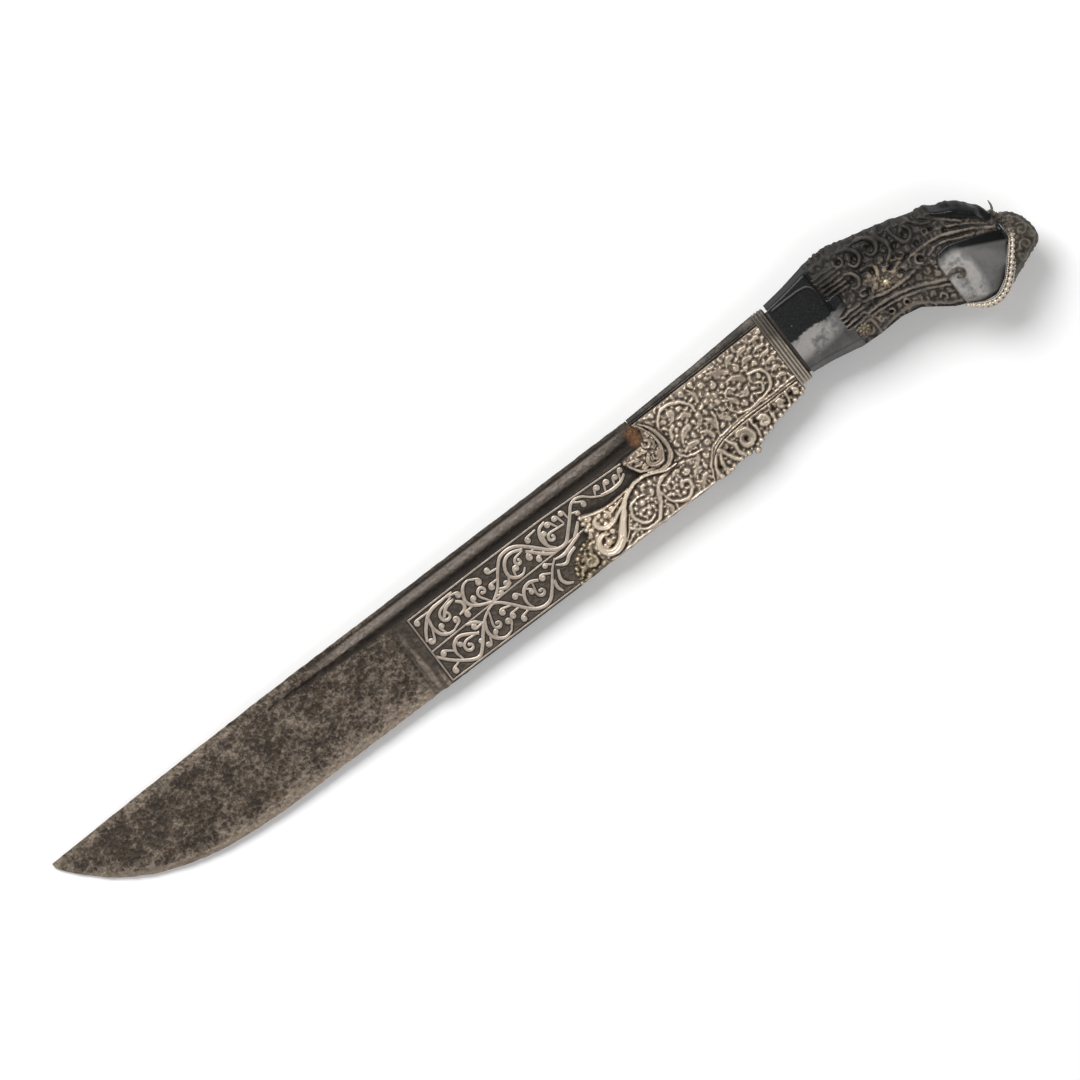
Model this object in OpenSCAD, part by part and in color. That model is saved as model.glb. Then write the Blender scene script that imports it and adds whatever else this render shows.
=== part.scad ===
// Piha kaetta: a fixed-blade knife with silver inlay, chiselled silver plates over its forte and a carved
// horn grip on a full tang. The knife is drawn with X from its tip to its pommel, Y up to its back and Z
// through its thickness, and then laid on its side, so that the grip and the tip rest at Z 0.

/* [Blade] */
// Length from the tip to the steel's shoulder at the grip
blade_len = 247.8; // [220:0.1:280]
// Height of the blade from its back to its edge
blade_h = 29.2; // [25:0.1:34]
// Length of the curved belly behind the tip
belly_len = 75; // [55:1:95]
// Drop of the back line at the tip
back_drop = 1.6; // [0.8:0.1:3]
// Length over which the back drops to the tip
back_drop_len = 100; // [70:1:120]
// Thickness of the back
back_t = 5.4; // [4.4:0.1:5.6]
// Thickness of the cutting edge
edge_t = 0.3; // [0.2:0.05:0.6]
// Thickness of the tip
tip_t = 1; // [0.7:0.1:1.6]
// Length over which the blade thins towards the tip
taper_len = 120; // [90:1:150]
// Width of the bevel ground along the belly for each millimetre of its height
bevel_run = 2.8; // [2:0.1:4]

/* [Back mouldings] */
// Distance of the fuller's pointed start from the tip
fuller_x = 72; // [60:1:100]
// Distance of the fuller below the back, at its start and at its end
fuller_y = [4.2, 5.6]; // [3:0.1:6]
// Radius of the fuller's cutter
fuller_r = 2.2; // [1.5:0.1:3]
// Depth of the fuller under the plates
fuller_depth = 0.9; // [0.4:0.1:1.2]
// Distance of the fine groove below the back
groove_y = 1.5; // [1.2:0.1:2]
// Radius of the fine groove
groove_r = 0.5; // [0.3:0.05:0.6]
// Depth of the fine groove
groove_depth = 0.3; // [0.1:0.05:0.4]

/* [Forte] */
// Length of the thicker forte, from its step to the shoulder
forte_len = 132.8; // [120:0.1:145]
// Thickness of the forte at the edge
forte_edge_t = 2.3; // [1.8:0.1:3]
// Thickness of the forte at the back
forte_back_t = 5.6; // [5.6:0.1:6.4]
// Distance of the raised forte panel below the back
forte_top = 6.6; // [6.2:0.1:7]
// Rise of the forte's step for each millimetre of its length
step_rise = 0.4; // [0.3:0.05:0.6]

/* [Silver inlay] */
// Height of the silver inlay above the steel
inlay_t = 0.2; // [0.1:0.05:0.4]
// Width of the inlaid frame lines
frame_w = 0.55; // [0.4:0.05:0.8]
// Width of the inlaid vines
vine_w = 0.7; // [0.5:0.05:1]
// Width of the inlaid scrolls
scroll_w = 0.6; // [0.4:0.05:0.9]
// Radius of the balls that end the scrolls
ball_r = 0.62; // [0.4:0.05:0.9]

/* [Silver plates] */
// Thickness of the plates' sheet
plate_t = 1.2; // [0.9:0.1:1.8]
// Height of the chiselled scrolls above the sheet
relief_t = 0.6; // [0.3:0.1:1]
// Height of the leaves and volutes above the sheet
leaf_t = 1.1; // [0.6:0.1:1.6]
// Width of the chiselled scrolls
chisel_w = 1; // [0.7:0.1:1.4]
// Radius of the ring of the flower's petals, and of a petal
flower_r = [2, 1.1]; // [0.8:0.1:2.6]
// Radius of the volutes' bosses at their foot and at their top
volute_boss_r = [2.3, 1.6]; // [1.2:0.1:2.8]
// Radius of the fan leaf's boss at its foot and at its top
fan_boss_r = [3, 2.4]; // [2:0.1:3.4]
// Thickness of the golden fan leaf
fan_t = 1.9; // [1.3:0.1:2.5]
// Height of the fan leaf's boss above the leaf
boss_t = 0.6; // [0.3:0.1:1]

/* [Choil fringe] */
// Thickness of the openwork fringe
fringe_t = 6.4; // [4:0.1:8]
// Thickness of the rail that carries the fringe's curls
rail_w = 1.1; // [0.8:0.1:1.6]
// Width of the fringe's curls
curl_w = 1.5; // [1:0.1:2]

/* [Back strip and bolster] */
// Rise of the back strip above the back line at the shoulder
strip_rise = 2.2; // [1.4:0.1:3]
// Depth of the plates' top edge below the back, at its front and at the shoulder
plate_top = [1.8, 0.9]; // [0.6:0.1:2.4]
// Length of the end band
band_len = 2.8; // [2:0.1:4]
// Height and thickness of the end band
band_size = [24.4, 10.4]; // [9:0.1:26]
// Length of the bead ring
bead_len = 1.8; // [1.2:0.1:3]
// Stand of the bead ring beyond the end band
bead_rise = 0.5; // [0.3:0.1:1]
// Length of the grip spacer
spacer_len = 1.6; // [1:0.1:2.4]
// Height and thickness of the grip spacer
spacer_size = [20.6, 11]; // [8:0.1:22]
// Radius of the corners of the bolster rings
ring_corner = 2; // [1:0.1:3]
// Distance of the centre of the bolster rings below the back
ring_y = 10; // [9:0.1:11]

/* [Grip] */
// Length of the grip from the spacer to the end of its bulb
grip_len = 66; // [60:0.1:78]
// Height of the grip at its front
grip_h = 23.3; // [21:0.1:26]
// Thickness of the grip at its bulb
grip_t = 19.8; // [16:0.1:22]
// Thickness of the tang
tang_t = 4.5; // [3.5:0.1:5.5]
// Thickness of the strips over the tang's edges
edge_strip_t = 1; // [0.7:0.1:1.5]
// Depth of the carved field below the horn's polished surface
carve_depth = 0.6; // [0.3:0.1:0.9]
// Width of the carved ribs and curls
carve_w = 1.2; // [0.8:0.1:1.8]
// Height of the tang's neck inside the bolster rings
neck_h = 16; // [12:0.1:17]
// Gap between the neck and the rings round it
neck_gap = 0.1; // [0.05:0.01:0.2]

/* [Rivets] */
// Radius of the grip rivets
rivet_r = 1.3; // [1:0.1:1.7]
// Gap between a rivet and its hole
rivet_gap = 0.05; // [0.02:0.01:0.1]
// Radius of the rosette washers
rosette_r = 2.3; // [2:0.1:3]
// Thickness of the rosette washers
rosette_t = 0.9; // [0.6:0.1:1.3]
// Depth of a rosette's seat in the horn
seat_depth = 1; // [0.7:0.1:1.3]
// Height of a rivet's head above its rosette
head_t = 0.5; // [0.3:0.1:0.9]
// Petals of a rosette
petals = 6; // [5:1:8]

/* [Pommel] */
// Width of the beaded bezel
bezel_w = 2.2; // [1.6:0.1:3]
// Thickness of the bezel at its middle
bezel_t = 16.4; // [13:0.1:17]
// Radius across the bezel, which thins it to its ends
bezel_round = 26; // [22:0.5:34]
// Radius of the cap's rounded end
cap_round = 10; // [9.5:0.1:12]
// Step from the bezel in to the cap
cap_step = 0.5; // [0.3:0.1:1]
// Thickness of the cap's silver
cap_wall = 1; // [0.6:0.1:1.3]
// Radius of the bent pin at the top of the bezel
pin_r = 0.45; // [0.3:0.05:0.7]
// Length of the pin above the bezel
pin_len = 3.2; // [2:0.1:5]

/* [Hidden] */
$fn = 48;
reach = 60; // longer than any cut has to be

// Outlines and ornament are drawn for a forte 132.8 long and 29.2 high, and a grip 66 long, 23.3 high and 19.8
// thick, and follow the sizes set above by these shares
forte_share = [forte_len / 132.8, blade_h / 29.2];
grip_share = [grip_len / 66, grip_h / 23.3, grip_t / 19.8];

forte_x = blade_len - forte_len;
grip_x = blade_len + band_len + bead_len + spacer_len;
edge_slope = (back_t - edge_t) / 2 / blade_h;
forte_slope = (forte_back_t - forte_edge_t) / 2 / blade_h;
flank_angle = atan(forte_slope);

function lerp(a, b, t) = a + (b - a) * t;
function unit(v) = v / norm(v);
function reversed(p) = [for (i = [len(p) - 1:-1:0]) p[i]];

// A point drawn on the forte, and one drawn on the grip, at the sizes that are set
function forte(p) = [blade_len + (p.x - 247.8) * forte_share.x, p.y * forte_share.y];
function grip(p) = [grip_x + (p.x - 254) * grip_share.x, p.y * grip_share.y];
function forte_all(p) = [for (q = p) forte(q)];

// A smooth curve through points set by hand
function between(p, i, t) =
  let (a = p[max(i - 1, 0)], b = p[i], c = p[i + 1], d = p[min(i + 2, len(p) - 1)])
  0.5 * (2 * b + (c - a) * t + (2 * a - 5 * b + 4 * c - d) * t * t + (3 * b - a - 3 * c + d) * t * t * t);
function smooth(p, n = 4) =
  concat([for (i = [0:len(p) - 2]) for (k = [0:n - 1]) between(p, i, k / n)], [p[len(p) - 1]]);

// The line at one side of a path, whose width runs from w0 to w1
function across(p, i) =
  let (d = unit(p[min(i + 1, len(p) - 1)] - p[max(i - 1, 0)])) [-d.y, d.x];
function beside(p, w0, w1) =
  [for (i = [0:len(p) - 1]) p[i] + lerp(w0, w1, i / (len(p) - 1)) * across(p, i)];
module ribbon(p, w0, w1) polygon(concat(beside(p, w0 / 2, w1 / 2), reversed(beside(p, -w0 / 2, -w1 / 2))));

// One scroll: a tapering ribbon along a smooth curve, ended by a ball
module scroll(points, w, ball = 0) {
  p = smooth(points, 4);
  ribbon(p, w * 0.7, w);
  if (ball > 0) translate(p[len(p) - 1]) circle(ball, $fn = 16);
}

// Both faces: the front one as drawn, the back one mirrored through the blade's middle plane
module face(side) if (side > 0) children(); else mirror([0, 0, 1]) children();
// A shape drawn flat on the forte's flank: its plane leans with the wedge of the forte
module on_forte(side) face(side) translate([0, 0, forte_back_t / 2]) rotate([flank_angle, 0, 0]) children();

// Blade
function belly_y(x) = -blade_h * pow(1 - pow(1 - min(x / belly_len, 1), 3), 1 / 1.4);
function back_y(x) = -back_drop * pow(1 - min(x / back_drop_len, 1), 2);
tip_edge = 0.6;
choil = smooth(forte_all([[213, -29.2], [214.6, -27], [216.6, -23.6], [221, -21], [228, -20.3],
  [247.8, -19.9]]), 4);
plate_x = forte([203.3, 0]).x; // the plates' front edge at the back
under_plate_x = forte([200, 0]).x; // covered by the plates: hidden joins end here
top_edge = [[plate_x, -plate_top[0]], [blade_len, -plate_top[1]]];
belly = [for (k = [14:-1:0]) let (x = lerp(tip_edge, belly_len, pow(k / 15, 1.5))) [x, belly_y(x)]];
blade_outline = concat([for (k = [0:8]) let (x = back_drop_len * k / 8) [x, back_y(x)]],
  [[plate_x, 0]], top_edge, reversed(choil), [[belly_len, -blade_h]], belly);

module slab(points, t = reach) linear_extrude(t, center = true) polygon(points);
// A wedge that runs along X, between two thicknesses at the edge and at the back
module wedge(slope, back) {
  over = 3;
  low = back / 2 - slope * (blade_h + 1);
  high = back / 2 + slope * over;
  rotate([90, 0, 90]) translate([0, 0, -over]) linear_extrude(blade_len + over)
    polygon([[-blade_h - 1, -low], [over, -high], [over, high], [-blade_h - 1, low]]);
}
module taper() {
  full = back_t / 2 + edge_slope * 3;
  low = tip_t / 2;
  end = blade_len + 1;
  rotate([90, 0, 0]) linear_extrude(2 * reach, center = true)
    polygon([[-1, -low], [taper_len, -full], [end, -full], [end, full], [taper_len, full], [-1, low]]);
}
module edge_bevel() {
  high = back_t / 2 + 1;
  wide = concat([[-bevel_run * high, back_y(0)], [-bevel_run * high, reach], [blade_len + reach, reach]],
    [[blade_len + reach, -blade_h], [belly_len, -blade_h]], belly, [[0, back_y(0)]]);
  hull() {
    slab(wide, edge_t);
    linear_extrude(2 * high, center = true) offset(delta = -bevel_run * high) polygon(wide);
  }
}
// The forte's raised panel: its upper edge is bevelled down to the blade's flank
module forte_panel() {
  flank = back_t / 2 - edge_slope * forte_top;
  translate([forte_x, 0, 0]) rotate([90, 0, 90]) linear_extrude(plate_x - forte_x)
    polygon([[-blade_h, -flank - blade_h], [-forte_top, -flank], [-forte_top, flank],
      [-blade_h, flank + blade_h]]);
}
module forte_block() {
  low = forte_edge_t / 4;
  high = forte_back_t;
  run = (high - low) / step_rise;
  intersection() {
    union() {
      forte_panel();
      slab(concat([[under_plate_x, -blade_h]], choil, [[blade_len, -plate_top[1]], [plate_x, -plate_top[0]],
        [plate_x, 0], [under_plate_x, 0]]));
    }
    wedge(forte_slope, forte_back_t);
    rotate([90, 0, 0]) linear_extrude(2 * reach, center = true)
      polygon([[forte_x, -low], [forte_x + run, -high], [blade_len, -high], [blade_len, high],
        [forte_x + run, high], [forte_x, low]]);
  }
}
// A round bar from one point to another
module rod(a, b, r) {
  d = b - a;
  translate(a) rotate([0, acos(d.z / norm(d)), atan2(d.y, d.x)]) cylinder(norm(d), r, r);
}
module fullers() {
  end = back_t / 2 - edge_slope * fuller_y[1] - fuller_depth + fuller_r;
  start = lerp(tip_t / 2, back_t / 2, fuller_x / taper_len) + fuller_r;
  fine = back_t / 2 - edge_slope * groove_y - groove_depth + groove_r;
  fine_x = back_drop_len;
  rod([fuller_x, -fuller_y[0], start], [plate_x, -fuller_y[1], end], fuller_r);
  rod([fine_x, -groove_y, fine + groove_depth], [plate_x, -groove_y, fine], groove_r);
}

// Grip: stations along it, each a line from the grip's back to its belly, and half the grip's thickness
stations = [
  [[254, 2.3], [254, -21], 7.3],
  [[260, 3.1], [260, -21.8], 7.6],
  [[267.6, 4.5], [267.4, -23.3], 8],
  [[268.6, 4.8], [268.4, -23.6], 8.6],
  [[276, 5.2], [275, -23.9], 9.1],
  [[284, 3.2], [282.5, -23.6], 9.4],
  [[292, 1.3], [288.4, -24.8], 9.6],
  [[299, -0.9], [292.6, -27.8], 9.7],
  [[306, -3], [296.2, -30.4], 9.8],
  [[312.5, -6.9], [298, -31.2], 9.9],
  [[317, -11.4], [298.8, -31.5], 9.9],
  [[318.4, -15.6], [299.6, -31.9], 9.9],
  [[319.7, -19.7], [303.6, -34.2], 9.6],
  [[319.5, -22.7], [307.6, -34.8], 9],
  [[318.3, -25.3], [312, -32.3], 8.2]];
backs = [for (s = stations) grip(s[0])];
bellies = [for (s = stations) grip(s[1])];
halves = [for (s = stations) s[2] * grip_share.z];
// Across a station: the share of the way from back to belly, and the share of the half thickness
ridge = 0.57;
facets = [[0, 0.42], [0.07, 0.8], [ridge, 1], [0.93, 0.8], [1, 0.42]];
bulb_start = 11; // the station where the bezel begins

// A station's section, whose faces may be drawn in by a drop
function ring(i, drop = 0) = [
  [each backs[i], tang_t / 2],
  for (f = facets) [each lerp(backs[i], bellies[i], f[0]), halves[i] * f[1] - drop],
  [each bellies[i], tang_t / 2]];
// A closed solid through rings of as many points each
module loft(rings) {
  n = len(rings[0]);
  m = len(rings);
  polyhedron([for (r = rings) each r], concat(
    [[for (k = [0:n - 1]) k]], [[for (k = [n - 1:-1:0]) (m - 1) * n + k]],
    [for (i = [0:m - 2]) for (k = [0:n - 1]) let (a = i * n + k, b = i * n + (k + 1) % n)
      each [[a, a + n, b], [b, a + n, b + n]]]));
}
// A point on the horn: at a station, which may be between two, and at a share of the way to the belly
function horn_xy(at, share) =
  let (i = floor(at), t = at - i) lerp(lerp(backs[i], backs[i + 1], t), lerp(bellies[i], bellies[i + 1], t), share);
function horn_z(at, share) =
  let (i = floor(at), t = at - i) lerp(halves[i], halves[i + 1], t) * lookup(share, facets);

// Tang: the grip's outline drawn in by the thickness of the strips over its edges
last = len(stations) - 1;
back_line = [for (i = [0:last]) backs[i]];
belly_line = [for (i = [0:last]) bellies[i]];
back_inner = beside(back_line, -edge_strip_t, -edge_strip_t);
belly_inner = beside(belly_line, edge_strip_t, edge_strip_t);
tang_outline = concat(back_inner, reversed(belly_inner));
neck_y = ring_y - neck_h / 2;
module neck(gap, x0, x1)
  translate([x0, -neck_y - neck_h - gap, -tang_t / 2 - gap])
    cube([x1 - x0, neck_h + 2 * gap, tang_t + 2 * gap]);
// The rivets: the station and the share of the way to the belly
rivets = [[5.25, 0.6], [3.55, 0.87]];
function rivet_half(v) = horn_z(v[0], v[1]) - seat_depth + rosette_t + head_t;
module rivet_holes(r) for (v = rivets) translate(horn_xy(v[0], v[1])) cylinder(2 * reach, r, r, center = true);

// The knife is turned about Y until the grip and the tip touch the floor, and centred on its box
rest_points = concat([for (i = [1:last]) [lerp(backs[i], bellies[i], ridge).x, halves[i]]],
  [for (v = rivets) [horn_xy(v[0], v[1]).x, rivet_half(v)]]);
rest_angle = max([for (p = rest_points) atan((p[1] - tip_t / 2) / p[0])]);
pommel_x = grip([326.9, 0]).x;
box_y = (grip([0, 5.3]).y + grip([0, -36.4]).y) / 2;
module placed()
  translate([-pommel_x * cos(rest_angle) / 2, -box_y, tip_t / 2 * cos(rest_angle)])
    rotate([0, -rest_angle, 0]) children();

module blade() color("dimgray") placed() {
  difference() {
    union() {
      intersection() {
        slab(blade_outline);
        wedge(edge_slope, back_t);
        taper();
        edge_bevel();
      }
      forte_block();
      neck(0, blade_len, grip_x + 2 * edge_strip_t);
      slab(tang_outline, tang_t);
    }
    for (side = [1, -1]) face(side) fullers();
    rivet_holes(rivet_r + rivet_gap);
  }
}

// Silver inlay on the forte's flank
frame_lines = [[[120.8, -7.6], [120.8, -28.6]], [[120.8, -7.9], [168, -7.7], [194.6, -8.7]],
  [[120.8, -18.9], [144, -18.2], [174, -17.3]], [[120.8, -28.6], [165.6, -28.6]]];
vines = [
  [[121.3, -14.8], [123.6, -12.2], [126, -9.6], [129.5, -8.6], [134, -8.8]],
  [[142.7, -18.2], [146.3, -15.7], [149.3, -11.6], [152.3, -9], [155.6, -8.8], [160, -11.5], [165.6, -16.8]],
  [[121, -20.3], [124, -24.2], [129.4, -27.9], [134, -25.3], [138.3, -20], [142.7, -18.5], [148, -23.2]],
  [[149.4, -25], [154.6, -28], [159, -24.5], [162.8, -19.4], [165, -17.6]],
  [[164, -16.6], [168.6, -17], [172, -14.4], [176.4, -9.4], [180, -8.8], [185.6, -12.6]]];
scrolls = [
  [[134, -9.3], [130, -9.9], [128.2, -12.3], [130.3, -13.8]],
  [[125.4, -11.6], [126, -15.4], [129, -17.9], [131.8, -16.6], [131, -14.9]],
  [[125.6, -15], [124.2, -17], [122.4, -16]],
  [[141.4, -17.8], [138.2, -15.5], [137.3, -12.4], [139.2, -9.2], [142, -9], [143.3, -10.8]],
  [[142.4, -17.6], [140.3, -14.6], [141.2, -11.9], [142.6, -13]],
  [[150, -11.4], [147.4, -11.7], [145.9, -10.3], [147, -9.2]],
  [[147.6, -14.4], [145.6, -15.2], [144.4, -13.2]],
  [[138.2, -15.6], [135.8, -15], [134.6, -16.4], [135.6, -17]],
  [[158.4, -10.8], [155, -10], [151.8, -11.6], [151, -14.6], [153.4, -17.2], [156, -16.3], [155.6, -14.7]],
  [[162, -12.6], [158.8, -13], [157.6, -14.6], [159.6, -15.8]],
  [[170, -8.6], [166.3, -8.9], [164, -11.4], [164.6, -14.8], [167.6, -16.6]],
  [[171.6, -12.6], [168.4, -13], [167, -14.2], [168.6, -15.4]],
  [[127, -26], [125.9, -23.4], [127.4, -20.8], [130.2, -20.1], [131.8, -21.4]],
  [[133, -25], [130.6, -25.7], [128.8, -24], [130.2, -22.9]],
  [[137.8, -20.4], [136.8, -23.8], [138.4, -26.8], [141.4, -28], [144, -25.4], [143.2, -23.2]],
  [[139.6, -20.4], [138.8, -23], [141, -24.1]],
  [[147.5, -22.8], [144.8, -20.9], [142.4, -21.6]],
  [[136, -25.8], [135, -27.2]],
  [[152, -26.6], [150, -24], [151, -20.9], [153.7, -19.9], [155.2, -20.8]],
  [[157.4, -25], [155, -25.2], [153.4, -23.4], [154.2, -21.6]],
  [[161, -22], [158.4, -22.3], [156.6, -20.8], [158, -19.9]],
  [[149.8, -25.2], [147.2, -26], [148, -27.3]],
  [[150.6, -22], [148.4, -20.4]],
  [[126, -22.6], [124.8, -20.6], [123.4, -21.5]],
  [[165.6, -19.4], [162.4, -23.8], [163.8, -26.6]]];
module inlay_frame(side) color("silver") placed() on_forte(side)
  linear_extrude(inlay_t) offset(delta = 0.01)
    for (p = frame_lines) ribbon(forte_all(p), frame_w, frame_w);
module inlay_scrolls(side) color("silver") placed() on_forte(side)
  linear_extrude(inlay_t) difference() {
    offset(delta = 0.01) {
      for (p = vines) scroll(forte_all(p), vine_w);
      for (p = scrolls) scroll(forte_all(p), scroll_w, ball_r);
    }
    offset(delta = 0.02) for (p = frame_lines) ribbon(forte_all(p), frame_w, frame_w);
    offset(delta = 0.05) plate_shape();
    offset(delta = 0.05) fan_shape();
  }

// Chiselled silver plates over the rear of the forte
lobes = concat([[203.3, -1.8]], smooth([[204.6, -4.6], [203.4, -7.7], [199, -8.3], [195.4, -9.3],
  [196.2, -12], [198, -14.2]]), smooth([[195.3, -14.9], [190, -15.9], [184, -15.7], [180, -14.6],
  [176.5, -13.6], [175.9, -17], [175.2, -20.4], [174, -23.6], [174.6, -26.8], [177, -29.2]]));
module plate_shape() polygon(concat([[plate_x, -plate_top[0]]], [for (i = [1:len(lobes) - 1]) forte(lobes[i])],
  choil, [top_edge[1]]));
fan_edge = smooth([[176.4, -19.6], [172.3, -20.7], [168.7, -23.2], [166.4, -26.2], [166, -29.2]]);
module fan_shape() difference() {
  polygon(forte_all(concat(fan_edge, [[178, -29.2], [178, -19.6]])));
  plate_shape();
}
chiselled = [
  [[203.9, -16.8], [207.8, -15], [209.3, -10.4], [210, -5.8], [213.4, -3.4], [218, -4.2], [221, -8.2],
    [219, -12.6], [214.6, -13.2]],
  [[211, -18.2], [209.4, -14], [210, -9.6]],
  [[228.7, -15.7], [232.7, -18], [239.3, -18], [243, -13.4], [240.6, -10.8], [237, -12.4]],
  [[188.4, -26.2], [191.6, -28], [196.2, -27], [198.2, -22.2], [202.2, -19], [208, -18.6]],
  [[192.4, -20], [189, -21.6], [188.4, -25], [191.6, -26.8], [194.2, -24.6]],
  [[200.2, -21.2], [199.8, -25], [203.4, -27.8], [207, -25.4], [205.2, -23]],
  [[248, -18.6], [228, -18.7], [221, -19.6], [217, -21.6], [214.6, -25.4], [213, -28]],
  [[223, -4], [227, -6.6], [231, -4.4], [236, -4.2]],
  [[236, -7.6], [240, -5], [244, -7.6], [244.6, -12]],
  [[212, -22.6], [209, -27]]];
module forte_plate(side) color("lightgray") placed() on_forte(side) {
  linear_extrude(plate_t) plate_shape();
  translate([0, 0, plate_t]) linear_extrude(relief_t) intersection() {
    offset(delta = 0.01) {
      for (p = chiselled) scroll(forte_all(p), chisel_w, chisel_w * 0.8);
      for (k = [0:4]) translate(forte([225.8, -9.8]) + flower_r[0] * [cos(72 * k), sin(72 * k)])
        circle(flower_r[1], $fn = 16);
    }
    offset(delta = -0.2) plate_shape();
    offset(delta = -0.01) difference() {
      plate_shape();
      upper_leaf_shape();
      volute_shape();
    }
  }
}
module upper_leaf_shape() intersection() {
  plate_shape();
  polygon(forte_all(concat([[203.6, -3]], smooth([[204.6, -7.6], [199, -8], [195, -9], [196, -12.4],
    [199.6, -15.2], [204, -16.4], [207.6, -14.4], [208.8, -10.4], [208, -6.2], [205.8, -3.2]]))));
}
module upper_leaf(side) color("lightgray") placed() on_forte(side) translate([0, 0, plate_t]) {
  linear_extrude(leaf_t) upper_leaf_shape();
  translate([each forte([203.9, -12.9]), leaf_t]) cylinder(relief_t, volute_boss_r[0], volute_boss_r[1]);
}
volute = [178.9, -24.7];
rising_band = [[179, -28.4], [183.4, -25], [188.6, -19.4], [192, -16.9], [197, -15.6]];
lobe_band = [[177.6, -14.4], [178, -18], [181.6, -20.2], [186, -18.6], [190, -16.4]];
module volute_shape() intersection() {
  plate_shape();
  offset(delta = 0.01) {
    translate(forte(volute)) circle(4.5 * forte_share.y);
    ribbon(smooth(forte_all(rising_band)), 3 * forte_share.y, 1.4 * forte_share.y);
    ribbon(smooth(forte_all(lobe_band)), 2.6 * forte_share.y, 1.2 * forte_share.y);
  }
}
module lower_volute(side) color("lightgray") placed() on_forte(side) translate([0, 0, plate_t]) {
  linear_extrude(leaf_t) volute_shape();
  translate([each forte(volute), leaf_t]) cylinder(relief_t, volute_boss_r[0], volute_boss_r[1]);
}
module fan_leaf(side) color("goldenrod") placed() on_forte(side) {
  linear_extrude(fan_t) fan_shape();
  translate([each forte([171.6, -25.8]), fan_t]) cylinder(boss_t, fan_boss_r[0], fan_boss_r[1]);
}

// Openwork fringe along the choil, on a rail that follows the steel
curls = [
  [[216.4, -26], [214.6, -28.2], [217, -29.6], [218.6, -27.6]],
  [[218.6, -24], [219.4, -28.4], [222.6, -29.4], [223.4, -26.6], [221.4, -25.4]],
  [[224.4, -21], [223.4, -26], [226, -29], [229.4, -28.4], [230.2, -24.8], [227.4, -23.4]],
  [[231.6, -20.6], [231.2, -25], [233.4, -27.4], [236.4, -26], [235.2, -23.4]],
  [[238, -20.6], [237.8, -24], [240.4, -26], [242.4, -24.2], [240.8, -22.8]],
  [[244, -20.6], [243.6, -22.8], [245.6, -24.4], [247.2, -22.6]]];
module fringe_shape() difference() {
  offset(delta = 0.01) {
    ribbon([for (i = [2:len(choil) - 1]) choil[i] + [0, -rail_w / 2]], rail_w, rail_w);
    for (p = curls) scroll(forte_all(p), curl_w, curl_w * 0.62);
  }
  polygon(concat(choil, [[blade_len, 0], [under_plate_x, 0], [under_plate_x, -blade_h]]));
  translate([blade_len, -reach]) square(reach);
}
module choil_fringe() color("darkkhaki") placed() difference() {
  linear_extrude(fringe_t, center = true) fringe_shape();
  for (side = [1, -1]) on_forte(side) translate([0, 0, -plate_t])
    linear_extrude(fringe_t) plate_shape();
}

// Back strip and bolster rings
module back_strip() color("gray") placed() {
  half = forte_back_t / 2 - forte_slope * plate_top[0] + plate_t;
  linear_extrude(2 * half, center = true)
    polygon([[plate_x, 0.2], [blade_len, strip_rise], top_edge[1], top_edge[0]]);
}
// A ring round the tang's neck, with round corners
module neck_ring(x, length, size)
  difference() {
    translate([x, -ring_y, 0]) rotate([90, 0, 90]) linear_extrude(length)
      offset(r = ring_corner) square(size - [2, 2] * ring_corner, center = true);
    neck(neck_gap, x - 1, x + length + 1);
  }
module end_band() color("lightgray") placed() neck_ring(blade_len, band_len, band_size);
module bead_ring() color("lightgray") placed() {
  x = blade_len + band_len;
  edge = bead_len / 4;
  big = band_size + 2 * [bead_rise, bead_rise];
  small = big - [bead_rise, bead_rise];
  neck_ring(x, edge, small);
  neck_ring(x + edge, bead_len - 2 * edge, big);
  neck_ring(x + bead_len - edge, edge, small);
}
module grip_spacer() color("saddlebrown") placed()
  neck_ring(blade_len + band_len + bead_len, spacer_len, spacer_size);

// Horn scales on the tang, and the strips that cover the tang's edges. The polished collar, bulb and band at the
// bulb's back stand over the carved field, with the carving's main ribs, bars and curls.
carved_field = [[268.4, 9], [302, 9], [304.4, -2.8], [306.4, -7.2], [312, -11.4], [315.6, -14.4], [314, -18.6],
  [311, -17.4], [304.5, -15.2], [301, -15.6], [299.2, -19], [299, -38], [269.8, -38], [269.8, -17.9],
  [268.2, -17.7], [268.2, -13.3], [271.8, -12.2], [271.8, -7.6], [268.4, -7.4]];
carved_ribs = [
  [[274.8, -18.2], [286, -19.1], [299.2, -23.1]],
  [[276, -14.4], [284, -16.4], [299, -19.4]],
  [[292.5, -12.4], [301, -13.6], [313, -18.4]],
  [[296, -8.8], [305, -11.2], [314.4, -15.8]],
  [[268.4, 3.4], [277, 3.8], [289, 0.4], [303, -3.4]],
  [[276, -23.4], [288, -23.6], [299, -30.4]]];
// Each curl: its centre, radius and turn
carved_curls = [
  [[278, -2], 2.5, 70], [[284.6, -3.2], 2.5, 110], [[279, -8.6], 2.5, 150], [[291.4, -5.2], 2.5, 60],
  [[297.6, -5.8], 2.3, 160], [[289.6, -11.6], 2.3, 200], [[281, -21], 1.5, 120], [[288, -21.4], 1.4, 40],
  [[294.6, -25], 1.9, 60], [[302.6, -8], 1.9, 100], [[272.8, -20.6], 1.9, 40]];
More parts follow.
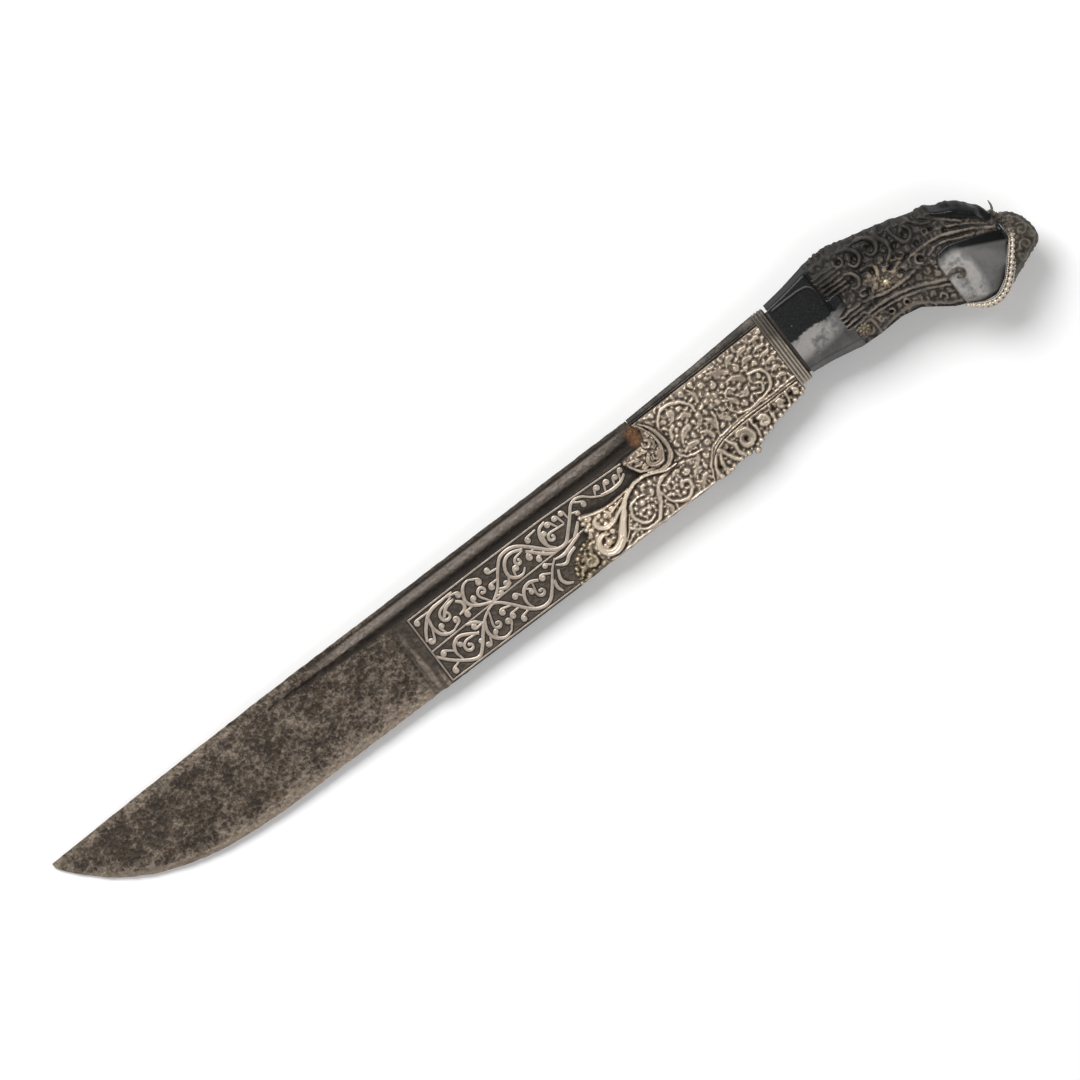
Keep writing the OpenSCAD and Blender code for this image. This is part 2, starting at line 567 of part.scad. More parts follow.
// The bars beside the collar: the first one's end and how many there are
carved_bars = [[[268.6, -1.2], 3], [[268.6, -14.4], 2]];
bar_size = [6.8, 1.2];
bar_pitch = 2.2;
curl_turn = 290;
module carved_curl(c) {
  arc = [for (k = [0:7]) let (a = c[2] + curl_turn * k / 7) c[0] + (c[1] - carve_w / 2) * [cos(a), sin(a)]];
  ribbon([for (p = arc) grip(p)], carve_w, carve_w);
}
module carved_forms() {
  for (r = carved_ribs) ribbon([for (p = r) grip(p)], carve_w, carve_w);
  for (c = carved_curls) carved_curl(c);
  for (b = carved_bars) for (k = [0:b[1] - 1])
    translate(grip(b[0] - [0, bar_size.y / 2 + k * bar_pitch])) square(bar_size);
}
module horn_block() {
  loft([for (i = [0:last]) ring(i, carve_depth)]);
  intersection() {
    loft([for (i = [0:last]) ring(i)]);
    linear_extrude(reach) {
      difference() {
        translate([grip_x - reach, -reach]) square(3 * reach);
        polygon([for (p = carved_field) grip(p)]);
      }
      carved_forms();
    }
  }
}
module horn_scale(side) color("black") placed() face(side) difference() {
  horn_block();
  rivet_holes(rivet_r + rivet_gap);
  for (v = rivets) translate([each horn_xy(v[0], v[1]), horn_z(v[0], v[1]) - seat_depth])
    cylinder(reach, rosette_r + rivet_gap, rosette_r + rivet_gap);
}
module tang_strip(line, inner) color("tan") placed()
  slab([each [for (i = [0:bulb_start]) line[i]], each reversed([for (i = [0:bulb_start]) inner[i]])], tang_t);

// Rivets through both scales and the tang, and the rosettes under their heads
module grip_rivets() color("darkkhaki") placed() for (v = rivets) {
  half = rivet_half(v) - head_t;
  translate(horn_xy(v[0], v[1])) {
    cylinder(2 * half, rivet_r, rivet_r, center = true);
    for (side = [1, -1]) face(side) translate([0, 0, half]) cylinder(head_t, rivet_r, rivet_r * 0.6);
  }
}
module rosettes(side) color("darkkhaki") placed() face(side) for (v = rivets)
  translate([each horn_xy(v[0], v[1]), horn_z(v[0], v[1]) - seat_depth]) linear_extrude(rosette_t)
    difference() {
      petal_r = rosette_r * 0.36;
      union() {
        circle(rosette_r - petal_r);
        for (k = [0:petals - 1]) rotate(360 * k / petals) translate([rosette_r - petal_r, 0]) circle(petal_r);
      }
      circle(rivet_r + rivet_gap);
    }

// Pommel: the bezel follows the end of the bulb from its back to its belly
bulb_line = concat([for (i = [bulb_start:last]) backs[i]], [for (i = [last:-1:bulb_start]) bellies[i]]);
bezel_outer = beside(bulb_line, bezel_w, bezel_w);
chord = bellies[bulb_start] - backs[bulb_start];
chord_mid = (bellies[bulb_start] + backs[bulb_start]) / 2;
chord_angle = atan2(chord.y, chord.x);
// A lens across the bezel: thick at its middle and thin at its ends
module lens(t, round) translate(chord_mid) rotate(chord_angle) rotate([90, 0, 0])
  linear_extrude(2 * reach, center = true) intersection_for (s = [1, -1])
    translate([0, s * (t / 2 - round)]) circle(round, $fn = 96);
module bezel_body() intersection() {
  slab(concat(bulb_line, reversed(bezel_outer)));
  lens(bezel_t, bezel_round);
}
module pommel_bezel() color("tan") placed() bezel_body();
cap_line = smooth([[320.4, -16.4], [323.4, -18], [325.4, -20.3], [326.6, -23.4], [326.9, -26.8], [326.3, -29],
  [324.6, -30.3], [321.4, -31.4], [317.4, -33.1], [312, -35.6]]);
module cap_shape(inset) {
  outer = [for (p = cap_line) grip(p)];
  difference() {
    polygon(concat(beside(outer, -inset, -inset), [chord_mid]));
    polygon(concat(bezel_outer, [chord_mid]));
  }
}
module cap_form(inset) intersection() {
  linear_extrude(2 * reach, center = true) cap_shape(inset);
  lens(bezel_t - 2 * (cap_step + inset), bezel_round);
  translate(grip([317.6, -26.6])) rotate([0, 0, chord_angle]) rotate([0, 90, 0])
    cylinder(2 * reach, cap_round - inset, cap_round - inset, center = true);
}
module pommel_cap() color("darkgray") placed() difference() {
  cap_form(0);
  cap_form(cap_wall);
}
module pommel_fill() color("sienna") placed() cap_form(cap_wall);
module pommel_pin() color("tan") placed() {
  foot = (bulb_line[0] + bezel_outer[0]) / 2;
  difference() {
    rod([each foot - [0, pin_r], 0], [each foot + [pin_r, pin_len], 0], pin_r);
    bezel_body();
  }
}

blade();
inlay_frame(1);  // inlay_frame_front
inlay_frame(-1);  // inlay_frame_back
inlay_scrolls(1);  // inlay_scrolls_front
inlay_scrolls(-1);  // inlay_scrolls_back
forte_plate(1);  // forte_plate_front
forte_plate(-1);  // forte_plate_back
upper_leaf(1);  // upper_leaf_front
upper_leaf(-1);  // upper_leaf_back
lower_volute(1);  // lower_volute_front
lower_volute(-1);  // lower_volute_back
fan_leaf(1);  // fan_leaf_front
fan_leaf(-1);  // fan_leaf_back
choil_fringe();
back_strip();
end_band();
bead_ring();
grip_spacer();
horn_scale(1);  // horn_scale_front
horn_scale(-1);  // horn_scale_back
tang_strip(back_line, back_inner);  // tang_strip_back
tang_strip(belly_line, belly_inner);  // tang_strip_belly
grip_rivets();
rosettes(1);  // rosettes_front
rosettes(-1);  // rosettes_back
pommel_bezel();
pommel_cap();
pommel_fill();
pommel_pin();
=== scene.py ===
"""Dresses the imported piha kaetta: forged blade, silver inlay, chased plates, carved horn grip and pommel.

Until a mesh is finished, lengths are millimetres in the knife's own frame: X from the tip to the pommel,
Y up to the back and Z through the thickness, towards the face in view. `Placement` then lays the knife on
its side.
"""

import logging
import math
from dataclasses import dataclass, field
from enum import Enum
from typing import Callable, Iterable, Sequence

import bpy
import numpy as np
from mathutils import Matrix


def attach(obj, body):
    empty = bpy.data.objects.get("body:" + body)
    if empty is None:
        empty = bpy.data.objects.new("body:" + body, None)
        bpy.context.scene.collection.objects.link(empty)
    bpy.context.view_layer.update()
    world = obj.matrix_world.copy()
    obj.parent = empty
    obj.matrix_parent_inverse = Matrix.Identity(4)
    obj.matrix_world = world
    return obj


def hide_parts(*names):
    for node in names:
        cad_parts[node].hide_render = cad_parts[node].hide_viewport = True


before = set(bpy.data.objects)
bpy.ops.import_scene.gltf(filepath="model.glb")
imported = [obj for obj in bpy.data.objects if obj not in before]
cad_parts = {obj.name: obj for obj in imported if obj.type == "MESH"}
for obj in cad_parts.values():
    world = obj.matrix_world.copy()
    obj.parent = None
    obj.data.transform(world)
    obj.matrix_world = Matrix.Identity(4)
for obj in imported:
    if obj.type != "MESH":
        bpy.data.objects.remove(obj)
log = logging.getLogger("knife")

Array = np.ndarray
Path = Sequence[Sequence[float]]
Colour = tuple[float, float, float]
Stroke = tuple[Path, Sequence[float]]
Material = bpy.types.Material
Lift = Callable[[Array, Array, Array], Array]
# A soft patch: its middle in the side view, and half its width and height
Spot = tuple[float, float, float, float]


class Side(Enum):
    """The two faces of the knife."""

    FRONT = 1
    BACK = -1

    @property
    def word(self) -> str:
        """The face's name in the names of nodes."""
        return self.name.lower()


class Motif(Enum):
    """Small forms that fill the ground between the scrolls."""

    BALL = "ball"
    LEAF = "leaf"
    CURL = "curl"


# The knife's frame


@dataclass(frozen=True)
class Placement:
    """How the knife lies: turned about Y in degrees, then shifted in millimetres."""

    turn: float = 1.84879
    shift: Colour = (-163.365, 15.55, 0.49974)
    metre: float = 0.001

    def to_row(self, points: Array) -> Array:
        """Places points of the knife's frame in the row's frame, in metres.

        Args:
            points: rows of three numbers, in millimetres.
        Returns:
            The placed points.
        """
        a = math.radians(self.turn)
        x, y, z = np.asarray(points, float).T
        u = x * math.cos(a) - z * math.sin(a) + self.shift[0]
        w = x * math.sin(a) + z * math.cos(a) + self.shift[2]
        return np.stack((u, y + self.shift[1], w), 1) * self.metre

    def mapping(self) -> tuple[Colour, Colour, Colour]:
        """Location, rotation and scale of the Mapping node that goes back to the knife's frame.

        Returns:
            The values of the node's three sockets.
        """
        a = math.radians(self.turn)
        x, y, z = (-s for s in self.shift)
        back = (x * math.cos(a) + z * math.sin(a), y, -x * math.sin(a) + z * math.cos(a))
        return back, (0.0, a, 0.0), (1 / self.metre,) * 3


@dataclass(frozen=True)
class ForteFlank:
    """The plane of the forte's flank, on which inlay and plates lie."""

    height: float = 2.8
    slope: float = 0.0565068

    def lift(self, side: Side) -> Lift:
        """Gives the function that lays drawn points, and heights over the flank, on one face.

        Args:
            side: the face.
        Returns:
            The function.
        """

        def on_flank(x: Array, y: Array, z: Array) -> Array:
            """Turns drawn points into the knife's frame.

            Args:
                x: places along the knife.
                y: places up the flank.
                z: heights over it.
            Returns:
                The points.
            """
            a = math.atan(self.slope)
            return np.stack((x, y * math.cos(a) - z * math.sin(a),
                             (self.height + y * math.sin(a) + z * math.cos(a)) * side.value), 1)

        return on_flank


PLACE = Placement()
FORTE = ForteFlank()


# Curves


def smooth(path: Path, steps: int = 6) -> Array:
    """A smooth curve through given points.

    Args:
        path: the points, each two or three numbers.
        steps: how many points each stretch gets.
    Returns:
        The curve's points.
    """
    p = np.asarray(path, float)
    if len(p) < 3:
        return p
    ends = np.vstack((p[0], p, p[-1]))
    t = np.linspace(0, 1, steps, endpoint=False)[:, None]
    parts = []
    for a, b, c, d in zip(ends[:-3], ends[1:-2], ends[2:-1], ends[3:]):
        parts.append(0.5 * (2 * b + (c - a) * t + (2 * a - 5 * b + 4 * c - d) * t**2
                            + (3 * b - a - 3 * c + d) * t**3))
    return np.vstack([*parts, p[-1:]])


def spiral(centre: Sequence[float], outer: float, inner: float, start: float, turns: float) -> Array:
    """A spiral from its outer end inwards.

    Args:
        centre: its middle.
        outer: radius at its start.
        inner: radius at its end.
        start: the angle at its start, in degrees.
        turns: how often it goes round; a negative number goes clockwise.
    Returns:
        The spiral's points.
    """
    t = np.linspace(0, 1, max(int(abs(turns) * 16), 6))
    angle = math.radians(start) + 2 * math.pi * turns * t
    radius = outer + (inner - outer) * t**0.8
    return np.stack((centre[0] + radius * np.cos(angle), centre[1] + radius * np.sin(angle)), 1)


def unit(vectors: Array) -> Array:
    """The vectors, each brought to a length of 1."""
    return vectors / np.maximum(np.linalg.norm(vectors, axis=-1, keepdims=True), 1e-9)


def beside(path: Array, offset: Array | float) -> Array:
    """The line at one side of a path: to its left where the offset is positive."""
    d = unit(np.gradient(path[:, :2], axis=0))
    return path[:, :2] + np.stack((-d[:, 1], d[:, 0]), 1) * np.reshape(offset, (-1, 1))


def resample(path: Array, count: int) -> Array:
    """As many points, evenly spaced along the path.

    Args:
        path: the line's points.
        count: how many are wanted.
    Returns:
        The new points.
    """
    run = np.concatenate(([0], np.cumsum(np.linalg.norm(np.diff(path, axis=0), axis=1))))
    at = np.linspace(0, run[-1], count)
    return np.stack([np.interp(at, run, path[:, k]) for k in range(path.shape[1])], 1)


def to_segment(x: Array, y: Array, start: Array, end: Array) -> tuple[Array, Array]:
    """How far places are from a straight stretch of line.

    Args:
        x: places along the knife.
        y: places across it.
        start: the stretch's first point.
        end: its last point.
    Returns:
        The distances, and where the nearest points lie, as shares of the stretch.
    """
    dx, dy = end - start
    t = np.clip(((x - start[0]) * dx + (y - start[1]) * dy) / max(dx * dx + dy * dy, 1e-12), 0, 1)
    return np.hypot(x - start[0] - t * dx, y - start[1] - t * dy), t


def inside(polygon: Path, x: Array, y: Array) -> Array:
    """Signed distance to a polygon's outline, positive inside it.

    Args:
        polygon: its corners in the side view.
        x: places along the knife.
        y: places across it.
    Returns:
        The distance at each place, in millimetres.
    """
    p = np.asarray(polygon, float)
    near = np.full(x.shape, 1e9)
    within = np.zeros(x.shape, bool)
    for a, b in zip(p, np.roll(p, -1, axis=0)):
        near = np.minimum(near, to_segment(x, y, a, b)[0])
        dx, dy = b - a
        if dy:
            within ^= ((a[1] > y) != (b[1] > y)) & (x < a[0] + (y - a[1]) * dx / dy)
    return np.where(within, near, -near)


def step_up(value: Array, low: float, high: float) -> Array:
    """A soft step from 0 to 1 between two values."""
    t = np.clip((value - low) / (high - low), 0, 1)
    return t * t * (3 - 2 * t)


def stretch(value: Array, rise: tuple[float, float], fall: tuple[float, float]) -> Array:
    """A soft stretch: from 0 to 1 over the first two values, and back to 0 over the other two."""
    return step_up(value, *rise) * (1 - step_up(value, *fall))


def bump(value: Array, width: float) -> Array:
    """A soft hill: 1 where the value is 0, and next to nothing at two widths from there."""
    return np.exp(-((value / width) ** 2))


def from_ends(count: int) -> Array:
    """How many steps each of so many points in a row is from the nearer end."""
    return np.minimum(np.arange(count), np.arange(count)[::-1])


def soft_noise(x: Array, y: Array, cell: float, seed: int) -> Array:
    """Smooth random values from -1 to 1, with one knot for each cell of millimetres.

    Args:
        x: places along the knife.
        y: places across it.
        cell: the pitch of its knots.
        seed: sets the random draws.
    Returns:
        A value for each place.
    """
    rng = np.random.default_rng(seed)
    knots = rng.uniform(-1, 1, (64, 64))
    u, v = np.asarray(x) / cell + 7.3, np.asarray(y) / cell + 3.1
    i, j = np.floor(u).astype(int), np.floor(v).astype(int)
    s, t = u - i, v - j
    s, t = s * s * (3 - 2 * s), t * t * (3 - 2 * t)
    a, b = knots[i % 64, j % 64], knots[(i + 1) % 64, j % 64]
    c, d = knots[i % 64, (j + 1) % 64], knots[(i + 1) % 64, (j + 1) % 64]
    return (a * (1 - s) + b * s) * (1 - t) + (c * (1 - s) + d * s) * t


def placed(name: str, data: bpy.types.ID) -> bpy.types.Object:
    """A new object of the data, put into the scene.

    Args:
        name: its name.
        data: the mesh, lamp or camera that it shows.
    Returns:
        The object.
    """
    made = bpy.data.objects.new(name, data)
    bpy.context.scene.collection.objects.link(made)
    return made


# Shader and geometry nodes


class Socket:
    """A node's output that takes part in Python expressions on values."""

    def __init__(self, nodes: "Nodes", socket: bpy.types.NodeSocket) -> None:
        """Wraps one output socket of a tree."""
        self.nodes, self.socket = nodes, socket

    def _math(self, operation: str, *values: "Socket | float", clamp: bool = False) -> "Socket":
        """Adds one Math node on the values."""
        inputs = dict(enumerate(values))
        return self.nodes.node("ShaderNodeMath", inputs, operation=operation, use_clamp=clamp)

    def __add__(self, other: "Socket | float") -> "Socket":
        """Sum."""
        return self._math("ADD", self, other)

    def __sub__(self, other: "Socket | float") -> "Socket":
        """Difference."""
        return self._math("SUBTRACT", self, other)

    def __rsub__(self, other: float) -> "Socket":
        """Difference from a number."""
        return self._math("SUBTRACT", other, self)

    def __mul__(self, other: "Socket | float") -> "Socket":
        """Product."""
        return self._math("MULTIPLY", self, other)

    def __truediv__(self, other: "Socket | float") -> "Socket":
        """Quotient."""
        return self._math("DIVIDE", self, other)

    def __gt__(self, other: "Socket | float") -> "Socket":
        """One where this is the greater value, and zero elsewhere."""
        return self._math("GREATER_THAN", self, other)

    __radd__, __rmul__ = __add__, __mul__

    def clamp(self) -> "Socket":
        """The value held between 0 and 1."""
        return self._math("ADD", self, 0.0, clamp=True)

    def most(self, other: "Socket | float") -> "Socket":
        """The greater of two values."""
        return self._math("MAXIMUM", self, other)

    def sine(self) -> "Socket":
        """Sine of an angle."""
        return self._math("SINE", self)

    def between(self, low: float, high: float) -> "Socket":
        """A soft step from 0 to 1 between two values."""
        return self.nodes.node("ShaderNodeMapRange", {"Value": self, "From Min": low, "From Max": high},
                               interpolation_type="SMOOTHSTEP")


class Nodes:
    """A node tree in the making."""

    def __init__(self, tree: bpy.types.NodeTree) -> None:
        """Starts from an empty tree."""
        self.tree = tree
        tree.nodes.clear()

    def node(self, kind: str, values: dict | None = None, out: int | str = 0, **settings: object) -> Socket:
        """Adds a node.

        Args:
            kind: the node's type.
            values: numbers or sockets for its inputs, by name or number; a list joins several.
            out: which output is wanted.
            settings: its properties, which are set first.
        Returns:
            The wanted output.
        """
        made = self.tree.nodes.new(kind)
        for key, value in settings.items():
            setattr(made, key, value)
        for key, value in (values or {}).items():
            for single in value if isinstance(value, list) else [value]:
                if isinstance(single, Socket):
                    self.tree.links.new(single.socket, made.inputs[key])
                else:
                    made.inputs[key].default_value = single
        return Socket(self, made.outputs[out]) if made.outputs else Socket(self, None)


class Shade(Nodes):
    """The nodes of one material, read in the knife's own millimetres."""

    def __init__(self, name: str) -> None:
        """Makes the material.

        Args:
            name: the material's name.
        """
        self.material = bpy.data.materials.new(name)
        self.material.use_nodes = True
        super().__init__(self.material.node_tree)
        location, rotation, scale = PLACE.mapping()
        objects = self.node("ShaderNodeTexCoord", out="Object")
        inputs = {"Vector": objects, "Location": location, "Rotation": rotation, "Scale": scale}
        self.at = self.node("ShaderNodeMapping", inputs, vector_type="POINT")

    def axis(self, name: str) -> Socket:
        """One coordinate in the knife's frame, in millimetres."""
        return self.node("ShaderNodeSeparateXYZ", {0: self.at}, name)

    def noise(self, size: float, detail: float = 3.0, rough: float = 0.55, shift: float = 0.0,
              stretch: Colour = (1.0, 1.0, 1.0)) -> Socket:
        """Fractal noise with features of a size in millimetres.

        Args:
            size: how large they are.
            detail: how many finer layers it has.
            rough: how strong these are.
            shift: moves the pattern, so that two noises differ.
            stretch: scales the pattern along each axis.
        Returns:
            The noise's value.
        """
        inputs = {"Vector": self.at, "Location": (shift, shift * 1.7, shift * 0.6), "Scale": stretch}
        moved = self.node("ShaderNodeMapping", inputs, vector_type="POINT")
        inputs = {"Vector": moved, "Scale": 1 / size, "Detail": detail, "Roughness": rough}
        return self.node("ShaderNodeTexNoise", inputs, noise_dimensions="3D")

    def pits(self, size: float) -> Socket:
        """Distance to the nearest of scattered points, a cell being a size in millimetres."""
        inputs = {"Vector": self.at, "Scale": 1 / size}
        return self.node("ShaderNodeTexVoronoi", inputs, "Distance", feature="F1")

    def mark(self, name: str) -> Socket:
        """A number that the mesh carries at its points."""
        return self.node("ShaderNodeAttribute", None, "Fac", attribute_name=name)

    def blob(self, x: float, y: float, wide: float, high: float) -> Socket:
        """A soft patch round a point of the side view."""
        u, v = (self.axis("X") - x) / wide, (self.axis("Y") - y) / high
        return 1.0 - (u * u + v * v).between(0.0, 1.0)

    def mix(self, factor: Socket | float, a: Socket | Colour, b: Socket | Colour, how: str = "MIX") -> Socket:
        """Blends two colours."""
        a, b = (c if isinstance(c, Socket) else (*c, 1.0) for c in (a, b))
        return self.node("ShaderNodeMix", {0: factor, 6: a, 7: b}, 2, data_type="RGBA", blend_type=how)

    def done(self, colour: Socket, rough: Socket | float, metal: Socket | float, height: Socket | None = None,
             depth: float = 0.1, **fixed: float) -> Material:
        """Closes the material.

        Args:
            colour: its colour.
            rough: its roughness.
            metal: how metallic it is.
            height: the fine relief that only the light shows.
            depth: what a height of 1 stands for, in millimetres.
            fixed: other sockets of the shader, spelt with underscores, the same all over.
        Returns:
            The material.
        """
        values = {"Base Color": colour, "Roughness": rough, "Metallic": metal}
        values.update({k.replace("_", " "): v for k, v in fixed.items()})
        if height is not None:
            values["Normal"] = self.node("ShaderNodeBump", {
                "Strength": 1.0, "Distance": depth * PLACE.metre, "Height": height})
        shader = self.node("ShaderNodeBsdfPrincipled", values)
        self.node("ShaderNodeOutputMaterial", {"Surface": shader})
        return self.material


class Growth(Nodes):
    """A Geometry Nodes tree that grows a mesh from paths."""

    def __init__(self, name: str, sizes: dict[str, float]) -> None:
        """Makes the tree, with named inputs for its sizes and its material.

        Args:
            name: the tree's name.
            sizes: its number inputs, with their usual values.
        """
        group = bpy.data.node_groups.new(name, "GeometryNodeTree")
        group.is_modifier = True
        super().__init__(group)
        self.sizes = sizes
        face = group.interface
        face.new_socket("Geometry", in_out="INPUT", socket_type="NodeSocketGeometry")
        for key, value in sizes.items():
            kind = "NodeSocketInt" if isinstance(value, int) else "NodeSocketFloat"
            item = face.new_socket(key, in_out="INPUT", socket_type=kind)
            item.default_value = value
        face.new_socket("Material", in_out="INPUT", socket_type="NodeSocketMaterial")
        face.new_socket("Geometry", in_out="OUTPUT", socket_type="NodeSocketGeometry")
        self.entry = group.nodes.new("NodeGroupInput")

    def given(self, name: str) -> Socket:
        """One of the tree's inputs."""
        return Socket(self, self.entry.outputs[name])

    def attribute(self, name: str) -> Socket:
        """A number that the paths carry at their points."""
        return self.node("GeometryNodeInputNamedAttribute", {"Name": name}, data_type="FLOAT")

    def vector(self, x: Socket | float, y: Socket | float, z: Socket | float) -> Socket:
        """A vector from its three numbers."""
        return self.node("ShaderNodeCombineXYZ", {0: x, 1: y, 2: z})

    def moved(self, shape: Socket, **how: Socket) -> Socket:
        """A shape, scaled, turned or shifted."""
        return self.node("GeometryNodeTransform", {"Geometry": shape, **how})

    def closed(self, *parts: Socket) -> "Growth":
        """Ends the tree: joins the parts, makes instances real and sets the material.

        Args:
            parts: the shapes to join.
        Returns:
            The tree itself.
        """
        whole = self.node("GeometryNodeJoinGeometry", {"Geometry": list(parts)})
        real = self.node("GeometryNodeRealizeInstances", {"Geometry": whole})
        dressed = self.node("GeometryNodeSetMaterial", {"Geometry": real, "Material": self.given("Material")})
        self.node("NodeGroupOutput", {"Geometry": dressed})
        return self

    def grow(self, host: bpy.types.Mesh, material: Material, **sizes: float) -> tuple[Array, list]:
        """Grows the mesh on its host.

        Args:
            host: a mesh of paths or points.
            material: what the result is made of.
            sizes: the tree's inputs that differ from their usual size.
        Returns:
            Points and faces.
        """
        body = placed("host", host)
        modifier = body.modifiers.new("growth", "NODES")
        modifier.node_group = self.tree
        for item in self.tree.interface.items_tree:
            if item.in_out == "INPUT" and item.name in self.sizes:
                usual = self.sizes[item.name]
                modifier[item.identifier] = type(usual)(sizes.get(item.name, usual))
            elif item.in_out == "INPUT" and item.name == "Material":
                modifier[item.identifier] = material
        graph = bpy.context.evaluated_depsgraph_get()
        grown = bpy.data.meshes.new_from_object(body.evaluated_get(graph), depsgraph=graph)
        body.modifiers.remove(modifier)
        bpy.data.objects.remove(body)
        points = np.zeros(len(grown.vertices) * 3, np.float32)
        grown.vertices.foreach_get("co", points)
        faces = [tuple(face.vertices) for face in grown.polygons]
        bpy.data.meshes.remove(grown)
        return points.reshape(-1, 3).astype(float), faces


def paths_host(paths: Iterable[Array], widths: Iterable[Sequence[float]],
               balls: Iterable[float]) -> bpy.types.Mesh:
    """A mesh of open paths, which carries a width at each point and a ball's radius at each end.

    Args:
        paths: each path's points.
        widths: each path's half widths, from its start to its end.
        balls: radius of the ball at each path's end, or 0.
    Returns:
        The mesh.
    """
    points, edges, width, ball = [], [], [], []
    for path, radii, end in zip(paths, widths, balls):
        n = len(path)
        edges += [(len(points) + k, len(points) + k + 1) for k in range(n - 1)]
        flat = path if path.shape[1] == 3 else np.column_stack((path, np.zeros(n)))
        points += flat.tolist()
        width += np.interp(np.linspace(0, 1, n), np.linspace(0, 1, len(radii)), radii).tolist()
        ball += [0.0] * (n - 1) + [float(end)]
    mesh = bpy.data.meshes.new("paths")
    mesh.from_pydata(points, edges, [])
    for name, values in (("width", width), ("ball", ball)):
        mesh.attributes.new(name, "FLOAT", "POINT").data.foreach_set("value", values)
    return mesh


def stroke_growth() -> Growth:
    """The tree of inlaid strokes: a flattened wire along each path and a ball at its end.

    Returns:
        The tree.
    """
    t = Growth("inlaid_strokes", {"Flatness": 0.4, "Sides": 8, "Ball flatness": 0.4})
    curve = t.node("GeometryNodeMeshToCurve", {"Mesh": t.given("Geometry")})
    curve = t.node("GeometryNodeSetCurveNormal", {"Curve": curve}, mode="Z_UP")
    ring = t.node("GeometryNodeCurvePrimitiveCircle", {"Resolution": t.given("Sides"), "Radius": 1.0})
    ring = t.moved(ring, Scale=t.vector(1.0, t.given("Flatness"), 1.0))
    wire = t.node("GeometryNodeCurveToMesh", {
        "Curve": curve, "Profile Curve": ring, "Scale": t.attribute("width"), "Fill Caps": True})
    ball = t.node("GeometryNodeMeshUVSphere", {"Segments": 12, "Rings": 6, "Radius": 1.0})
    ball = t.moved(ball, Scale=t.vector(1.0, 1.0, t.given("Ball flatness")))
    size = t.attribute("ball")
    balls = t.node("GeometryNodeInstanceOnPoints", {
        "Points": t.given("Geometry"), "Selection": size > 0.01, "Instance": ball,
        "Scale": t.vector(size, size, size)})
    return t.closed(wire, balls)


def bead_growth() -> Growth:
    """The tree of beaded wires: beads at an even pitch along each path, on a thin wire.

    Returns:
        The tree.
    """
    t = Growth("beaded_wires", {"Pitch": 1.0, "Bead": 0.5, "Wire": 0.25})
    curve = t.node("GeometryNodeMeshToCurve", {"Mesh": t.given("Geometry")})
    spaced = t.node("GeometryNodeResampleCurve", {"Curve": curve, "Length": t.given("Pitch")}, mode="LENGTH")
    bead = t.node("GeometryNodeMeshUVSphere", {"Segments": 10, "Rings": 6, "Radius": t.given("Bead")})
    beads = t.node("GeometryNodeInstanceOnPoints", {"Points": spaced, "Instance": bead})
    ring = t.node("GeometryNodeCurvePrimitiveCircle", {"Resolution": 8, "Radius": t.given("Wire")})
    wire = t.node("GeometryNodeCurveToMesh", {"Curve": curve, "Profile Curve": ring, "Fill Caps": True})
    return t.closed(wire, beads)


def petal_growth() -> Growth:
    """The tree of rosettes: a ring of petals round each point of the host.

    Returns:
        The tree.
    """
    t = Growth("petal_rings", {"Petals": 8, "Ring": 1.4, "Length": 0.85, "Width": 0.5, "Rise": 0.4})
    ring = t.node("GeometryNodeMeshCircle", {"Vertices": t.given("Petals"), "Radius": t.given("Ring")},
                  fill_type="NONE")
    petal = t.node("GeometryNodeMeshUVSphere", {"Segments": 10, "Rings": 6, "Radius": 1.0})
    petal = t.moved(petal, Scale=t.vector(t.given("Length"), t.given("Width"), t.given("Rise")))
    turn = t.node("GeometryNodeInputIndex") * (2 * math.pi) / t.given("Petals")
    petals = t.node("GeometryNodeInstanceOnPoints", {
        "Points": ring, "Instance": petal, "Rotation": t.vector(0.0, 0.0, turn)})
    rosettes = t.node("GeometryNodeInstanceOnPoints", {"Points": t.given("Geometry"), "Instance": petals})
    return t.closed(rosettes)


# Meshes


